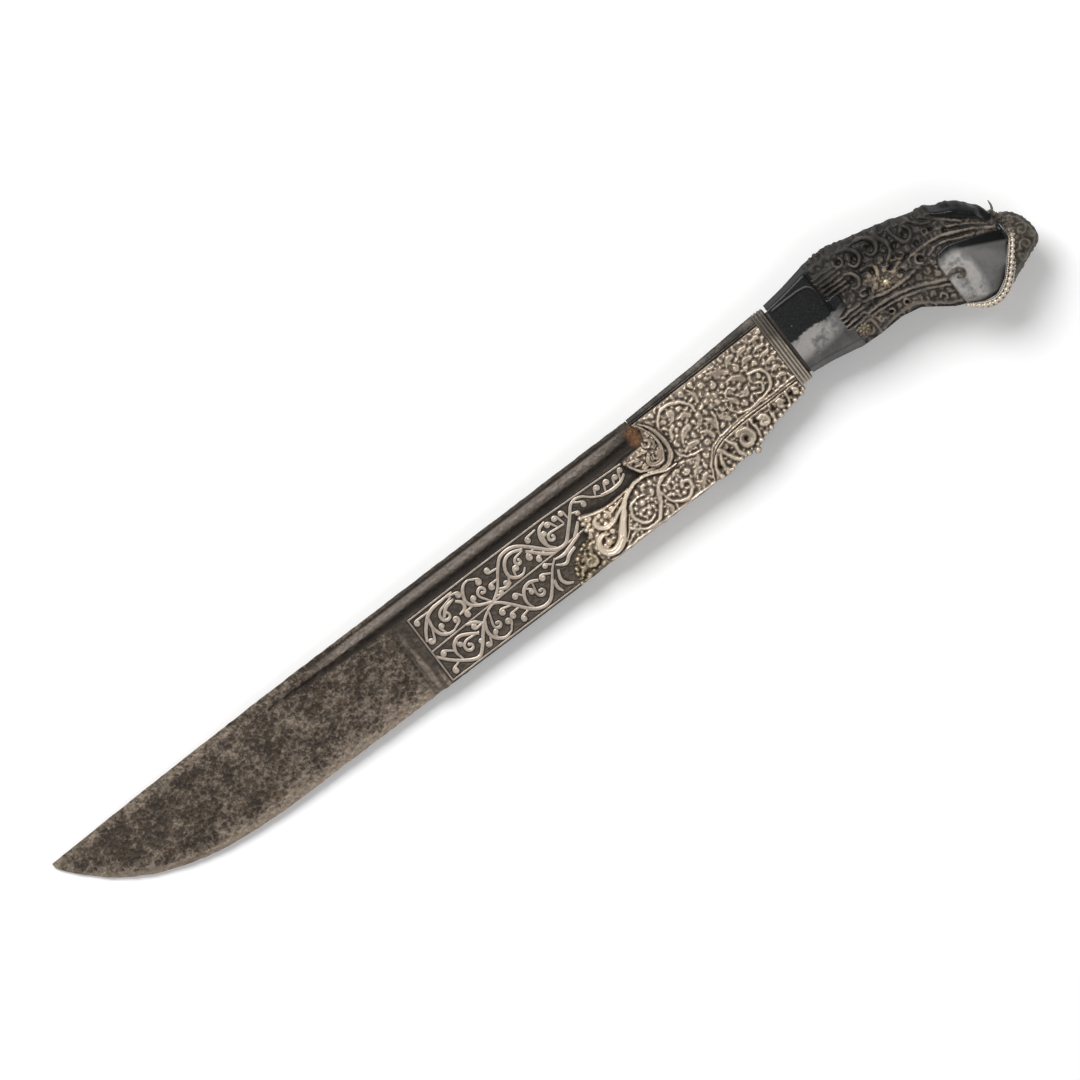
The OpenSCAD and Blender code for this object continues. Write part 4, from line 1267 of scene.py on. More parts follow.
@dataclass
class Blade:
    """The forging: blade, back mouldings, the forte's raised panel and the tang."""

    length: float = FORTE_END
    height: float = 29.2
    belly: float = 75.0
    back_drop: float = 1.6
    back_drop_len: float = 100.0
    spine: float = 5.4
    edge: float = 0.3
    tip: float = 1.0
    taper: float = 120.0
    bevel: float = 2.8
    forte_from: float = 115.0
    step_foot: float = 0.575
    step_rise: float = 0.4
    panel_top: float = -6.9
    plates_from: float = PLATES_FROM
    nick: float = 0.12
    pit: float = 0.09
    rib_y: float = -3.1
    line_y: float = -1.35
    low_line_y: float = -8.3
    run_out: tuple = (196, 203)
    fuller_depth: float = 1.15
    fuller_y: tuple = ((72, 85, 100, 120, 140, 190, 203), (-4.0, -4.5, -5.0, -5.5, -5.8, -6.1, -5.8))
    fuller_half: tuple = ((70, 85, 100, 140, 190, 203), (0.4, 0.8, 1.15, 1.4, 1.4, 1.6))
    fuller_share: tuple = ((71, 77, 98, 196, 203.4), (0, 0.5, 1.0, 1.0, 0.2))

    def back(self, x: Array) -> Array:
        """The back line.

        Args:
            x: places along the knife.
        Returns:
            The back's height at each.
        """
        drop = -self.back_drop * (1 - np.minimum(x / self.back_drop_len, 1)) ** 2
        strip = np.interp(x, (self.plates_from, self.length), STRIP_LOW)
        return np.where(x > self.plates_from, strip, drop + 0.07 * soft_noise(x, 0 * x, 1.6, 4))

    def curve(self, x: Array) -> Array:
        """The belly and the edge, without nicks."""
        return -self.height * (1 - (1 - np.clip(x / self.belly, 0, 1)) ** 3) ** (1 / 1.4)

    def edge_line(self, x: Array) -> Array:
        """The edge and the choil, with small nicks and the tip rounded by wear.

        Args:
            x: places along the knife.
        Returns:
            The edge's height at each.
        """
        nicks = self.nick * (soft_noise(x, 0 * x, 1.7, 11) + 0.6 * soft_noise(x, 0 * x, 0.7, 12))
        nicks = nicks * stretch(x, (1.5, 8), (208, 213))
        line = self.curve(x) - 2.5 * np.exp(-x / 2.4) + nicks
        return np.where(x > CHOIL[0, 0], np.interp(x, CHOIL[:, 0], CHOIL[:, 1]), line)

    def flank(self, y: Array | float) -> Array | float:
        """Half the thickness of the plain wedge."""
        return self.spine / 2 + (self.spine - self.edge) / 2 / self.height * y

    def half(self, x: Array, y: Array, edge: Array, lean: Array) -> Array:
        """Half the thickness at points of the side view.

        Args:
            x: place along the knife.
            y: place across it.
            edge: the edge line at x.
            lean: how much the edge line's slope shortens the bevel.
        Returns:
            Height of the face over the middle plane.
        """
        taper = self.tip / 2 + (self.spine - self.tip) / 2 * (x + 1) / (self.taper + 1)
        bevel = self.edge / 2 + (y - edge) * lean / self.bevel
        z = np.minimum(np.minimum(self.flank(y), taper), bevel)
        z = z + self.mouldings(x, y)
        rising = self.step_foot + self.step_rise * (x - self.forte_from)
        panel = np.minimum(FORTE.height + FORTE.slope * y, rising)
        crest = self.flank(self.panel_top) + (self.panel_top - y) * 1.2
        z = np.where(x > self.forte_from, np.maximum(z, np.minimum(panel, crest)), z)
        bare = 1 - step_up(x, self.forte_from - 3, self.forte_from + 3)
        pits = soft_noise(x, y, 1.9, 21) * 0.6 + soft_noise(x, y, 4.3, 22)
        return np.maximum(z + self.pit * pits * (0.25 + bare), self.edge / 3)

    def fuller(self, x: Array, y: Array) -> Array:
        """The groove under the rib, as a share of its full depth.

        Args:
            x: places along the knife.
            y: places across it.
        Returns:
            The share at each place.
        """
        rows = self.fuller_y, self.fuller_half, self.fuller_share
        middle, wide, deep = (np.interp(x, *row) for row in rows)
        return deep * np.maximum(1 - ((y - middle) / wide) ** 2, 0) ** 1.3

    def mouldings(self, x: Array, y: Array) -> Array:
        """Relief under the back: a fine groove, a rounded rib and the deep fuller.

        Args:
            x: places along the knife.
            y: places across it.
        Returns:
            How far the face stands out at each place.
        """
        fade = stretch(x, (84, 108), self.run_out)
        rib = 0.2 * np.maximum(1 - ((y - self.rib_y) / 1.3) ** 2, 0)
        groove = 0.3 * bump(y - self.line_y, 0.28)
        return fade * (rib - groove) - self.fuller_depth * self.fuller(x, y)

    def columns(self) -> Array:
        """Places along the knife at which the blade is drawn.

        Returns:
            The places, from the tip on.
        """
        tip = 0.03 + 6.0 * np.linspace(0, 1, 30) ** 1.6
        steps = ((6.4, 100, 0.45), (100, 113.5, 0.4), (113.5, 122, 0.22), (122, 205, 0.55))
        rear = np.linspace(205.5, self.length, 16)
        return np.concatenate((tip, *(np.arange(*step) for step in steps), rear))

    def shell(self) -> Shell:
        """The blade's surface: for each column, a ring over the spine, down one face and up the other.

        Returns:
            The blade without its tang.
        """
        x = self.columns()
        back, edge = self.back(x), self.edge_line(x)
        lean = 1 / np.hypot(1, np.gradient(self.curve(x), x))
        near_edge = (27.9, 28.3, 28.65, 28.95, 29.2)
        depth = np.concatenate((np.arange(0.22, 8.3, 0.21), np.linspace(8.6, 27.4, 26), near_edge))
        share = depth / self.height
        gx = np.repeat(x[:, None], len(share), 1)
        gy = back[:, None] + (edge - back)[:, None] * share
        gz = self.half(gx, gy, edge[:, None], lean[:, None])
        crown = gz[:, :1] - np.minimum(0.3, gz[:, :1] * 0.4)
        ring_y = np.hstack((np.repeat(back[:, None], 4, 1), gy, gy[:, ::-1]))
        ring_z = np.hstack((crown * np.array([-1.0, -0.4, 0.4, 1.0]), gz, -gz[:, ::-1]))
        ring_x = np.repeat(x[:, None], ring_y.shape[1], 1)
        shell = loft(np.stack((ring_x, ring_y, ring_z), -1))
        shell.marks = self.marks(ring_x, ring_y, (ring_y - edge[:, None]) * lean[:, None])
        return shell

    def marks(self, x: Array, y: Array, over_edge: Array) -> dict[str, Array]:
        """What the finish reads at points of the blade.

        Args:
            x: place along the knife.
            y: place across it.
            over_edge: distance to the edge.
        Returns:
            Shares from 0 to 1: near the edge, in grime and painted shade, and the rib's painted highlight.
        """
        long = stretch(x, (84, 106), self.run_out)
        # Dark cut lines, and painted shade: the fuller's lower wall and a band ahead of the plates' front
        # edge.
        dark = bump(y - self.line_y, 0.32) * 0.75 + bump(y - self.low_line_y, 0.4) * 0.3
        # Where the rib's painted highlight goes.
        rib = bump(y - self.rib_y, 0.95) + 0.5 * bump(y + 2.0, 0.25)
        ahead = np.maximum(-inside(Plates().outline(), x, y), 0)
        shade = bump(ahead, 1.9) * step_up(x, 166, 172) * (y < -7.5) * 1.15
        shares = {"edge": np.exp(-np.maximum(over_edge, 0) / 1.9),
                  "grime": self.fuller(x, y + 0.3) + dark * long + shade,
                  "rib": rib * long}
        return {name: np.clip(share, 0, 1).ravel() for name, share in shares.items()}

    def tang(self) -> list[Shell]:
        """The tang inside the grip, and its neck inside the bolster.

        Returns:
            The two solids.
        """
        outline = np.vstack((beside(BACKS, -1.0), beside(BELLIES, 1.0)[::-1]))
        neck = np.array([(self.length - 2, -2), (258, -2), (258, -18), (self.length - 2, -18)], float)
        return [prism(outline, TANG_HALF), prism(neck, TANG_HALF)]

    def build(self, finish: Material) -> None:
        """Makes the blade."""
        self.shell().joined(*self.tang()).make("forged_blade", finish, "blade_steel", "blade", sharp=30)


@dataclass
class Inlay:
    """Silver inlaid in the forte: frame lines, vines, and scrolls that end in balls."""

    frame_half: float = 0.29
    vine_half: float = 0.56
    scroll_half: float = 0.46
    foot_half: float = 0.28
    ball: float = 0.58
    flatness: float = 0.34
    # The dark sheet under each stroke, a little wider: painted shade of the groove round it.
    cut: float = 0.3
    groove_shade_flatness: float = 0.07
    frames: tuple = (
        ((120.8, -7.6), (120.8, -28.7)), ((120.8, -7.8), (144, -7.6), (168, -7.7), (194.8, -8.8)),
        ((120.8, -18.8), (144, -18.1), (170, -17.5), (176, -17.2)),
        ((120.8, -28.7), (144, -28.8), (166, -28.8)))
    vines: tuple = (
        ((121.6, -15.8), (122.8, -13.5), (125.5, -10.5), (128, -9.2), (131.5, -8.9), (135.4, -8.7)),
        ((143, -18), (146, -16), (148, -13.5), (150, -11), (152, -9.2), (154.5, -8.7), (157, -9.2),
         (159.5, -11), (162, -13.5), (164.5, -16), (166.7, -17.2), (169.3, -17.1), (172, -14.6), (174.5, -12),
         (176.6, -9.6), (178.6, -8.9), (180.6, -9.5), (183, -11.5), (185.8, -13)),
        ((121, -20.6), (123.5, -23.5), (126.5, -26), (129, -27.5), (131, -27.8), (133, -26.2), (135.5, -23.2),
         (138, -20.6), (140.5, -19), (143, -18.4)),
        ((143, -18.4), (144.8, -19.6), (147, -22), (149, -24.5), (151, -26.5), (153.5, -27.6), (156, -27.3),
         (158, -25.5), (160, -23), (162, -20.5), (164.2, -18.6)),
        ((142.8, -17.8), (139.5, -16.4), (137.5, -14.8), (137, -12.8), (138, -10.4), (139.4, -9.1),
         (141, -8.8)), ((125.8, -10.6), (125.2, -13.5), (126, -16.3), (128, -17.6), (129.8, -17.7)),
        ((158.4, -11.2), (155.5, -10.1), (153, -10.5), (151.3, -12.5), (151, -15), (152.5, -16.6),
         (154.5, -16.8), (156, -15.6)),
        ((168, -8.9), (165.6, -9.6), (164.3, -12.2), (164.9, -15), (166.6, -16.8)),
        ((134.6, -22.6), (132, -20.9), (129.4, -19.9), (127.2, -20.8), (126.2, -23), (126.8, -25.6)),
        ((138, -20.8), (136.9, -23), (136.8, -25), (138, -27), (140, -28), (142.4, -27.5)),
        ((156.8, -20.8), (154.6, -19.8), (152.4, -20.2), (151, -21.8), (150.5, -24), (151.3, -26.2)),
        ((158.8, -12.2), (160.8, -14.2), (163.2, -16.4), (165.4, -17.7)),
        ((163, -21.8), (162, -24.2), (162.6, -26.2), (164.4, -27.3)),
        ((160.4, -23.4), (159.9, -25.6), (160.6, -27.4)), ((175.6, -14.4), (173.4, -16.4), (171.6, -17.6)),
        ((173.6, -17.4), (169.8, -18.6), (166.8, -19.4), (164, -19)),
        ((170.6, -19.6), (168, -20.4), (165.8, -21.8), (163.2, -20.4)),
        ((134.6, -11.4), (136, -12.8), (135.6, -14.6), (133.4, -15.2)),
        ((129.4, -13.2), (131.6, -11.2), (134.6, -10.6)),
        ((185.2, -12.5), (188, -13.1), (191.4, -12.9), (194, -11.6)),
        ((146.6, -16.2), (148.4, -17), (150.4, -16.6)), ((133.2, -18.6), (135.2, -19.2), (137, -20.6)))
    hooks: tuple = (
        ((125.3, -12.8), (122.7, -16.2), 0.95, -1), ((127, -9.2), (122.6, -10), 0.8, 1),
        ((134.4, -9.7), (130.3, -13), 2.1, 1), ((133.4, -9), (136.2, -10.5), 0.85, -1),
        ((138.6, -15.4), (135.5, -16.5), 0.9, 1), ((141, -8.8), (142.9, -11), 0.95, -1),
        ((142.8, -17.5), (142.4, -13.8), 1.7, -1), ((148.2, -13.6), (145.4, -14.5), 0.85, 1),
        ((150.2, -11.2), (147.1, -10), 0.85, -1), ((151.3, -14), (149.2, -15.9), 0.85, -1),
        ((158.2, -11.4), (155.6, -13.2), 1.3, 1), ((161.8, -13), (158.9, -14.2), 1.0, 1),
        ((163.6, -15.2), (160.7, -16.3), 0.75, 1), ((172, -12.6), (167.2, -13.6), 1.4, 1),
        ((170.2, -12.4), (168.1, -10.2), 0.8, 1), ((172.2, -12.4), (170.7, -10), 0.8, 1),
        ((174, -12.2), (173, -9.9), 0.7, 1), ((164.6, -9), (161.3, -10.2), 0.8, 1),
        ((129.6, -17.7), (131.6, -15.7), 1.05, 1), ((183.6, -12.1), (185.4, -10.3), 0.85, -1),
        ((186.6, -12.9), (188.5, -10.6), 0.8, -1), ((189.6, -13.2), (191.3, -11), 0.75, -1),
        ((192, -12.4), (193.6, -10.2), 0.6, -1), ((177.4, -9.2), (179.6, -11.5), 0.75, -1),
        ((175.2, -11.4), (176.8, -12.6), 0.5, -1), ((126.3, -22.4), (123.3, -21.3), 0.85, 1),
        ((134.8, -22.2), (130.4, -23.9), 1.9, 1), ((125.8, -25.3), (123.3, -27), 0.85, 1),
        ((138, -20.7), (134.8, -20.2), 0.85, -1), ((136.9, -24.4), (134.9, -26.6), 0.8, -1),
        ((140.4, -19.4), (140.4, -23.7), 1.4, 1), ((147, -21.9), (143.5, -22), 0.95, 1),
        ((148.2, -23.5), (145.3, -24.5), 0.85, 1), ((150, -25.6), (147.3, -27), 0.8, 1),
        ((142.2, -27.6), (143, -25), 1.0, 1), ((151.1, -22), (148.9, -20.7), 0.85, 1),
        ((155, -20), (155.6, -23.8), 1.45, 1), ((161.2, -21.6), (158.2, -21.1), 0.95, 1),
        ((162.8, -19.8), (160.7, -18.95), 0.55, 1), ((132.2, -26.8), (133.6, -24.8), 0.7, 1),
        ((152.4, -16.5), (153.8, -14.5), 0.9, -1), ((127.6, -17.4), (127.5, -14.8), 0.75, -1),
        ((144.6, -17.2), (146.4, -17.2), 0.5, 1), ((139.4, -16.3), (139.3, -14), 0.8, -1),
        ((164.8, -14.6), (165.9, -11.6), 0.7, -1), ((152.2, -20.3), (153.2, -22.2), 0.7, -1),
        ((138.2, -27), (138.6, -25.2), 0.6, -1), ((128.2, -20.2), (128.6, -21.8), 0.6, 1))

    def hook(self, foot: Sequence[float], centre: Sequence[float], radius: float, way: int) -> Array:
        """A stroke that leaves a vine and curls up round a centre.

        Args:
            foot: where it leaves the vine.
            centre: the middle of its curl.
            radius: the curl's radius.
            way: 1 to curl to the left, and -1 to the right.
        Returns:
            The stroke's points.
        """
        dx, dy = foot[0] - centre[0], foot[1] - centre[1]
        far = math.hypot(dx, dy)
        start = math.atan2(dy, dx) + way * math.acos(min(radius / far, 1.0))
        curl = spiral(centre, radius, radius * 0.25, math.degrees(start), way * (0.75 + 0.12 * radius))
        half = [(foot[0] + curl[0, 0]) / 2, (foot[1] + curl[0, 1]) / 2]
        return smooth([tuple(foot), tuple(half)] + [tuple(q) for q in curl[::2]], 3)

    def lines(self, growth: Growth, finish: Material, paths: list[Array],
              widths: list[Sequence[float]], balls: list[float]) -> Shell:
        """The front face's strokes, each on a dark flat sheet a little wider: the painted shade of the groove
        round it.

        Args:
            growth: the tree that grows them.
            finish: what they are made of.
            paths: each stroke's points.
            widths: each stroke's half widths.
            balls: radius of the ball at each stroke's end, or 0.
        Returns:
            Strokes and their dark sheets.
        """
        wide = [tuple(w + self.cut for w in width) for width in widths]
        far = [end + self.cut if end else 0.0 for end in balls]
        crest = 0.8 if any(balls) else 0.64
        shells = []
        # The wider sheets get tone 0: painted groove shade.
        for radii, ends, flat, tone in ((widths, balls, self.flatness, crest),
                                        (wide, far, self.groove_shade_flatness, 0.0)):
            sizes = {"Flatness": flat, "Ball flatness": flat}
            points, faces = growth.grow(paths_host(paths, radii, ends), finish, **sizes)
            marks = {"relief": np.full(len(points), tone)}
            shells.append(Shell(FORTE.lift(Side.FRONT)(*points.T), faces, marks))
        return shells[0].joined(shells[1])

    def build(self, finish: Material) -> None:
        """Makes the inlay on both faces.

        Args:
            finish: the inlay's silver.
        """
        growth = stroke_growth()
        frames = [resample(np.array(p, float), 12) for p in self.frames]
        vines, scrolls = [smooth(p) for p in self.vines], [self.hook(*h) for h in self.hooks]
        vine = (self.foot_half * 1.6, self.vine_half, self.vine_half, self.vine_half * 0.5)
        scroll = (self.foot_half, self.scroll_half * 1.2, self.scroll_half * 0.75)
        rows = {"inlay_frame": (frames, [(self.frame_half,)] * len(frames), [0.0] * len(frames)),
                "inlay_scrolls": (vines + scrolls, [vine] * len(vines) + [scroll] * len(scrolls),
                                  [0.0] * len(vines) + [self.ball] * len(scrolls))}
        for name, row in rows.items():
            shell = self.lines(growth, finish, *row)
            for side in Side:
                piece = shell.faced(side)
                piece.make(f"{name}_lines_{side.word}", finish, "inlay_silver", f"{name}_{side.word}")


@dataclass
class Plates:
    """The chased silver plates, and the leaf, volute and fan leaf at their front edge."""

    sheet: float = 1.2
    rise: float = 0.85
    step: float = 0.18
    area: tuple = ((173, 249.4), (-29.8, -0.4))
    rear: float = 207.5
    lobes: tuple = (
        ((204.6, -4.6), (203.4, -7.7), (199, -8.3), (195.4, -9.3), (196.2, -12), (198, -14.2)),
        ((195.3, -14.9), (190, -15.9), (184, -15.7), (180, -14.6), (176.5, -13.6), (175.9, -17),
         (175.2, -20.4), (174, -23.6), (174.6, -26.8), (177, -29.2)))
    vines: tuple = (
        (((215.8, -19.3), (212, -18.7), (209.8, -16.9), (208.9, -13.7), (208.9, -10.6), (209.5, -6.9),
          (211.4, -4.4), (214.5, -3.4), (217.6, -4.4), (220.1, -6.9), (220.6, -9.6)),
         (0.35, 0.58, 0.62, 0.55)),
        (((228.2, -14.2), (228.9, -16.3), (230.8, -17.8), (234.5, -18.2), (238.9, -17.7), (242, -16.2),
          (242.7, -13.1), (241.2, -10.8), (238.4, -10.4)), (0.35, 0.52, 0.6, 0.5)),
        (((185.6, -24.6), (188, -26.5), (190.2, -27.7), (192.6, -28), (194.9, -27.1), (197, -24.7),
          (198.2, -22.3), (199.7, -19.9), (202.1, -18.7), (205.6, -18.3), (209.4, -18.9)),
         (0.4, 0.62, 0.68, 0.5)),
        (((194.8, -19.5), (192.2, -19.1), (190, -19.9), (188.8, -21.8), (188.8, -23.8), (190, -25.6),
          (192, -26.6), (193.9, -26)), (0.3, 0.55, 0.6, 0.4)),
        (((199.1, -21.2), (199.2, -23.4), (200, -25.3), (202.1, -27.2), (204.5, -27.8), (206.4, -26.7),
          (207.5, -24.9), (206.9, -23.5), (205.6, -23.2), (204.9, -24.2)), (0.3, 0.55, 0.65, 0.85, 0.75)),
        (((222.4, -17.6), (223.8, -14.8), (224, -13)), (0.3, 0.45, 0.5)),
        (((231, -13.2), (229.6, -11.6), (231.6, -10.2), (233, -11.4)), (0.3, 0.45, 0.5)),
        (((236.4, -15.8), (238.8, -16.4), (240.2, -14.6), (238.6, -13.4)), (0.35, 0.5, 0.45)))
    leaves: tuple = (
        ((212.4, -14.7), (216.8, -11.9), 1.25, 0.2), ((215, -8.4), (218.8, -9.8), 1.0, 0.3),
        ((211.4, -17.2), (216.2, -16.8), 1.05, 0.2), ((210.6, -12.2), (213.2, -9.2), 0.85, 0.5),
        ((212, -8.4), (215.2, -5.4), 1.0, -0.4), ((217.2, -13.8), (220.8, -11.4), 1.0, -0.3),
        ((221.8, -3.4), (222.8, -8), 0.95, 0.3), ((228.8, -3.4), (231.6, -6.2), 1.15, 0.2),
        ((232, -3.2), (234.4, -6.6), 1.1, -0.2), ((232.4, -8.4), (237, -11), 1.3, 0.2),
        ((234.8, -5.2), (238.2, -3.4), 1.1, 0.1), ((238.8, -5.4), (242.2, -3.6), 1.1, 0.1),
        ((229, -12.8), (231.4, -15.2), 0.95, 0.4), ((232.8, -14), (236, -13.2), 1.1, -0.3),
        ((243.2, -6.6), (247.2, -6.2), 0.8, 0.1), ((243.4, -9), (247.2, -8.6), 0.8, 0.1),
        ((243.9, -11.4), (247.2, -11.2), 0.8, 0.1), ((244.2, -13.8), (247.2, -13.8), 0.8, 0.1),
        ((243.8, -16.2), (247.2, -16.4), 0.8, 0.1), ((243.4, -4), (247, -3.6), 0.75, 0.1),
        ((238.4, -7.7), (242.4, -6.8), 0.95, 0.2), ((221, -12.8), (222.6, -16.8), 0.95, 0.3),
        ((225, -13.6), (227, -17.4), 1.05, -0.2), ((218, -15.4), (220.6, -18.4), 0.95, 0.3),
        ((210.2, -21.8), (213.8, -19.7), 0.95, -0.3), ((209.2, -24.4), (212.2, -22.6), 0.85, 0.2),
        ((210.6, -27.8), (212.4, -25), 0.85, 0.3), ((184.2, -27.7), (187.8, -26.6), 0.6, 0.2),
        ((195, -18.9), (196.8, -17.3), 0.8, 0.2), ((200.3, -20.4), (201.4, -22.8), 0.65, 0.2),
        ((204, -20.8), (206.9, -20), 0.9, 0.2), ((198.4, -25.6), (198.5, -28.3), 0.95, 0.1),
        ((208.9, -25.6), (209.6, -28.2), 0.8, 0.4), ((207, -3.6), (208, -6.4), 0.8, 0.3))
    lumps: tuple = (
        (190.6, -21.3, 0.8), (193.1, -21.2, 1.1), (190.8, -23.6, 0.8), (193, -24.6, 0.85), (195.8, -22, 0.75),
        (195, -24, 0.7), (193.3, -17.9, 0.9), (198.2, -17.8, 0.95), (203, -24.4, 0.75), (204.2, -26, 0.8),
        (207.6, -17.4, 0.7), (186.8, -24.3, 0.6), (201.6, -24.6, 0.6), (203.4, -21.9, 0.6), (220.3, -11, 0.9),
        (218.3, -11.8, 0.8), (213.6, -5.9, 0.9), (210.8, -11.4, 0.7))
    fingers: tuple = (
        (((196, -9.7), (196.5, -11.3), (197.4, -12.9), (198.9, -14.3), (201, -15.2), (203, -15.8)),
         (0.5, 0.6, 0.6, 0.4)), (((196.6, -9.9), (198.2, -10.3), (199.4, -11)), (0.5, 0.75, 0.4)),
        (((197.8, -12), (199, -12.2), (200, -12)), (0.45, 0.7, 0.5)),
        (((199.4, -13.9), (200.6, -13.8)), (0.6, 0.5)),
        (((199.6, -9.8), (201, -9.9), (202, -10.6)), (0.35, 0.5, 0.35)))
    curls: tuple = (
        (((202.9, -11.3), (201.7, -12.3), (201.7, -13.9), (203, -15), (204.9, -14.7), (206.2, -13),
          (206.9, -10.9), (207, -8.8), (206.6, -6.6), (205.4, -4.2), (204.4, -2.6)),
         (0.6, 1.0, 1.05, 0.9, 0.65, 0.45, 0.35), 2.3),
        (((203.6, -12.2), (203.3, -13.2), (204.1, -13.7), (205.1, -12.9), (205.8, -11.4)), (0.45, 0.6, 0.35),
         2.1),
        (((203.2, -7.6), (203, -8.7), (203.9, -9.5), (204.9, -9), (205, -8), (204.3, -7.5)), (0.5, 0.65, 0.5),
         2.0), (((205.5, -8.2), (205.9, -9.3), (205.3, -10.2)), (0.5, 0.6, 0.4), 1.7))
    crescent: tuple = (((205.4, -2.9), (207.2, -5.2), (208.2, -8), (208.6, -11.4), (207.9, -14.8),
                        (205.6, -16.7), (202.4, -16.8), (199.6, -15.4)), (0.4, 0.7, 0.85, 0.95, 0.85, 0.55))
    band: tuple = (
        ((179.6, -27.3), (182.2, -26.2), (184.8, -23.2), (188.4, -18.9), (191.5, -16.5), (195.2, -15.3),
         (199, -15.7), (204, -17.8), (207.4, -18)), (1.3, 1.4, 1.25, 0.95, 0.75, 0.62, 0.55, 0.5, 0.35))
    flower: tuple = (225.9, -9.9)
    moulding: Path = ((249.4, -19.1), (240, -19.2), (233.9, -19.2), (228, -19.4), (222.4, -19.9),
                      (218.6, -21.1), (216.2, -23.3), (214.6, -26), (213.2, -29.2))
    leaf_body: Path = ((204.6, -3), (207.4, -7), (208.2, -11), (207.4, -15), (204, -16.8), (200, -15.6),
                       (197, -12.4), (195.2, -8.6), (199, -8.2), (203.4, -7.4), (204.6, -3))
    volute_ring: Stroke = (
        ((180.2, -22.2), (179, -21.7), (177.5, -21.9), (176.4, -23.1), (176.2, -24.8), (177, -26.3),
         (178.6, -27.1), (180.6, -26.7), (182.6, -25.4)), (0.45, 0.85, 1.0, 1.1, 1.2, 1.2, 1.0))
    volute_line: Stroke = (((183, -27.3), (185.4, -25.3), (187.8, -22.3), (190.4, -19.2)),
                           (0.3, 0.45, 0.4, 0.25))
    upper_curl: Stroke = (
        ((180.3, -16.5), (179.2, -17.2), (179, -18.6), (179.9, -20), (181.7, -20.7), (183.7, -20.4),
         (185.8, -19.4), (188, -18.2), (190.6, -16.8)), (0.45, 0.75, 0.9, 0.85, 0.65, 0.5, 0.4))
    wisps: tuple[Stroke, ...] = (
        (((177.4, -14.3), (180.4, -15.4), (184, -16), (188.6, -15.9), (192, -15.5)), (0.5, 0.45, 0.35)),
        (((184.6, -17.9), (187, -17.2), (189.4, -16.6)), (0.45, 0.4, 0.3)),
        (((183.2, -16.6), (183.8, -17.6), (183.6, -18.8)), (0.4, 0.6, 0.4)))
    volute_rim: tuple = ((176.5, -14.1, 0.75), (177.7, -15.4, 0.7), (176.2, -15.9, 0.75), (177.5, -17.1, 0.7),
                         (176.1, -17.8, 0.75), (177.3, -18.9, 0.7), (176.1, -19.6, 0.6), (178, -20.4, 0.5))
    volute_body: Path = ((176.4, -13.8), (181, -14.8), (187, -16), (192, -15.6), (186.6, -20.4), (183, -25.4),
                         (180, -28.6), (176.4, -27.4), (175, -23.6), (176, -19))
    fan_rim: Path = ((177.2, -19.6), (172.9, -20.7), (168.9, -22.9), (166.7, -25.8), (166, -29))
    fan_balls: tuple = ((174.4, -28, 0.9, 1.1), (169.4, -28.3, 0.7, 1.0), (175.4, -21.6, 0.8, 1.1))

    def outline(self) -> Array:
        """The plate's outline."""
        return np.vstack(([(PLATES_FROM, STRIP_LOW[0])], *map(smooth, self.lobes), CHOIL,
                          [(249, -19.9), (249, -0.85)]))

    def plate(self) -> Shell:
        """The sheet with its chased ground.

        Returns:
            The front plate.
        """
        r = Relief(*self.area, self.step, 0.24)
        sheet = inside(self.outline(), r.x, r.y)
        moulding = smooth(self.moulding)
        for offset, high in ((-0.45, 0.95), (0.45, 0.8)):
            r.stroke(beside(moulding, offset), (0.36, 0.36), self.rise * high)
        r.stroke([(176, -28.75), (213, -28.75)], (0.42, 0.42), self.rise * 0.8)
        r.strokes(self.vines, self.rise, 0.2)
        for start, end, width, bend in self.leaves:
            r.leaf(start, end, width, self.rise * 0.85, bend)
        for k in range(5):
            a = 2 * math.pi * k / 5 + 0.3
            x, y = self.flower[0] + 1.7 * math.cos(a), self.flower[1] + 1.7 * math.sin(a)
            r.ball(x, y, 1.1, self.rise * 0.85)
        r.ball(*self.flower, 0.75, self.rise * 1.1)
        r.balls(self.lumps, self.rise * 0.85)
        r.clear = np.minimum(r.clear, sheet - 0.25)
        rear = (sheet > 0.4) & (r.x > self.rear)
        r.fill(rear, 7, 0.52, 1.5, self.rise * 0.9, (Motif.CURL, Motif.LEAF, Motif.LEAF), 0.02)
        r.fill(sheet > 0.4, 9, 0.42, 1.5, self.rise * 0.9, gap=0.02)
        r.wear(0.16)
        edge = np.clip(sheet / 0.5, 0, 1)
        top = self.sheet * np.sqrt(1 - (1 - edge) ** 2 * 0.9) + r.height * step_up(sheet, 0.05, 0.4)
        # Painted shadow on the sheet round the crescent and the band.
        over = Relief(*self.area, self.step)
        over.strokes((self.crescent, self.band), 1.0)
        painted_shadow = 1 - 0.9 * bump(np.maximum(over.clear, 0), 0.5)
        return r.solid(sheet, top, 0.0, FORTE.lift(Side.FRONT), r.tone(0.6, 0.68) * painted_shadow)

    def raised(self, r: Relief, body: Path, light: float) -> Shell:
        """A form that stands on the sheet: its strokes, a body 1 mm high between them, and its lightness.

        Args:
            r: the map with its strokes.
            body: outline of the lower body.
            light: how light it looks.
        Returns:
            The solid.
        """
        within = np.maximum(-r.clear, inside(body, r.x, r.y))
        r.wear(0.1)
        edge = step_up(within, 0.0, 0.35)
        # Darker at the form's foot: painted shade.
        shade = np.clip((r.tone(0.8, 1.0) + 0.06) * light * (0.25 + 0.75 * step_up(within, 0.0, 0.3)), 0, 1)
        return r.solid(within, 0.55 + 0.45 * edge + r.height, 0.0, FORTE.lift(Side.FRONT), shade)

    def upper_leaf(self) -> Shell:
        """The leaf and volute that curl over the plate's front edge, near the back.

        Returns:
            The front one.
        """
        r = Relief((193, 211), (-18.6, -1.6), 0.14, 0.16)
        r.strokes([self.crescent], 1.7, 0.15)
        for path, radii, rise in self.curls:
            r.stroke(smooth(path), radii, rise, 0.25)
        r.strokes(self.fingers, 1.5, 0.15)
        r.ball(196, -9.5, 0.85, 1.7)
        return self.raised(r, smooth(self.leaf_body), 0.68)

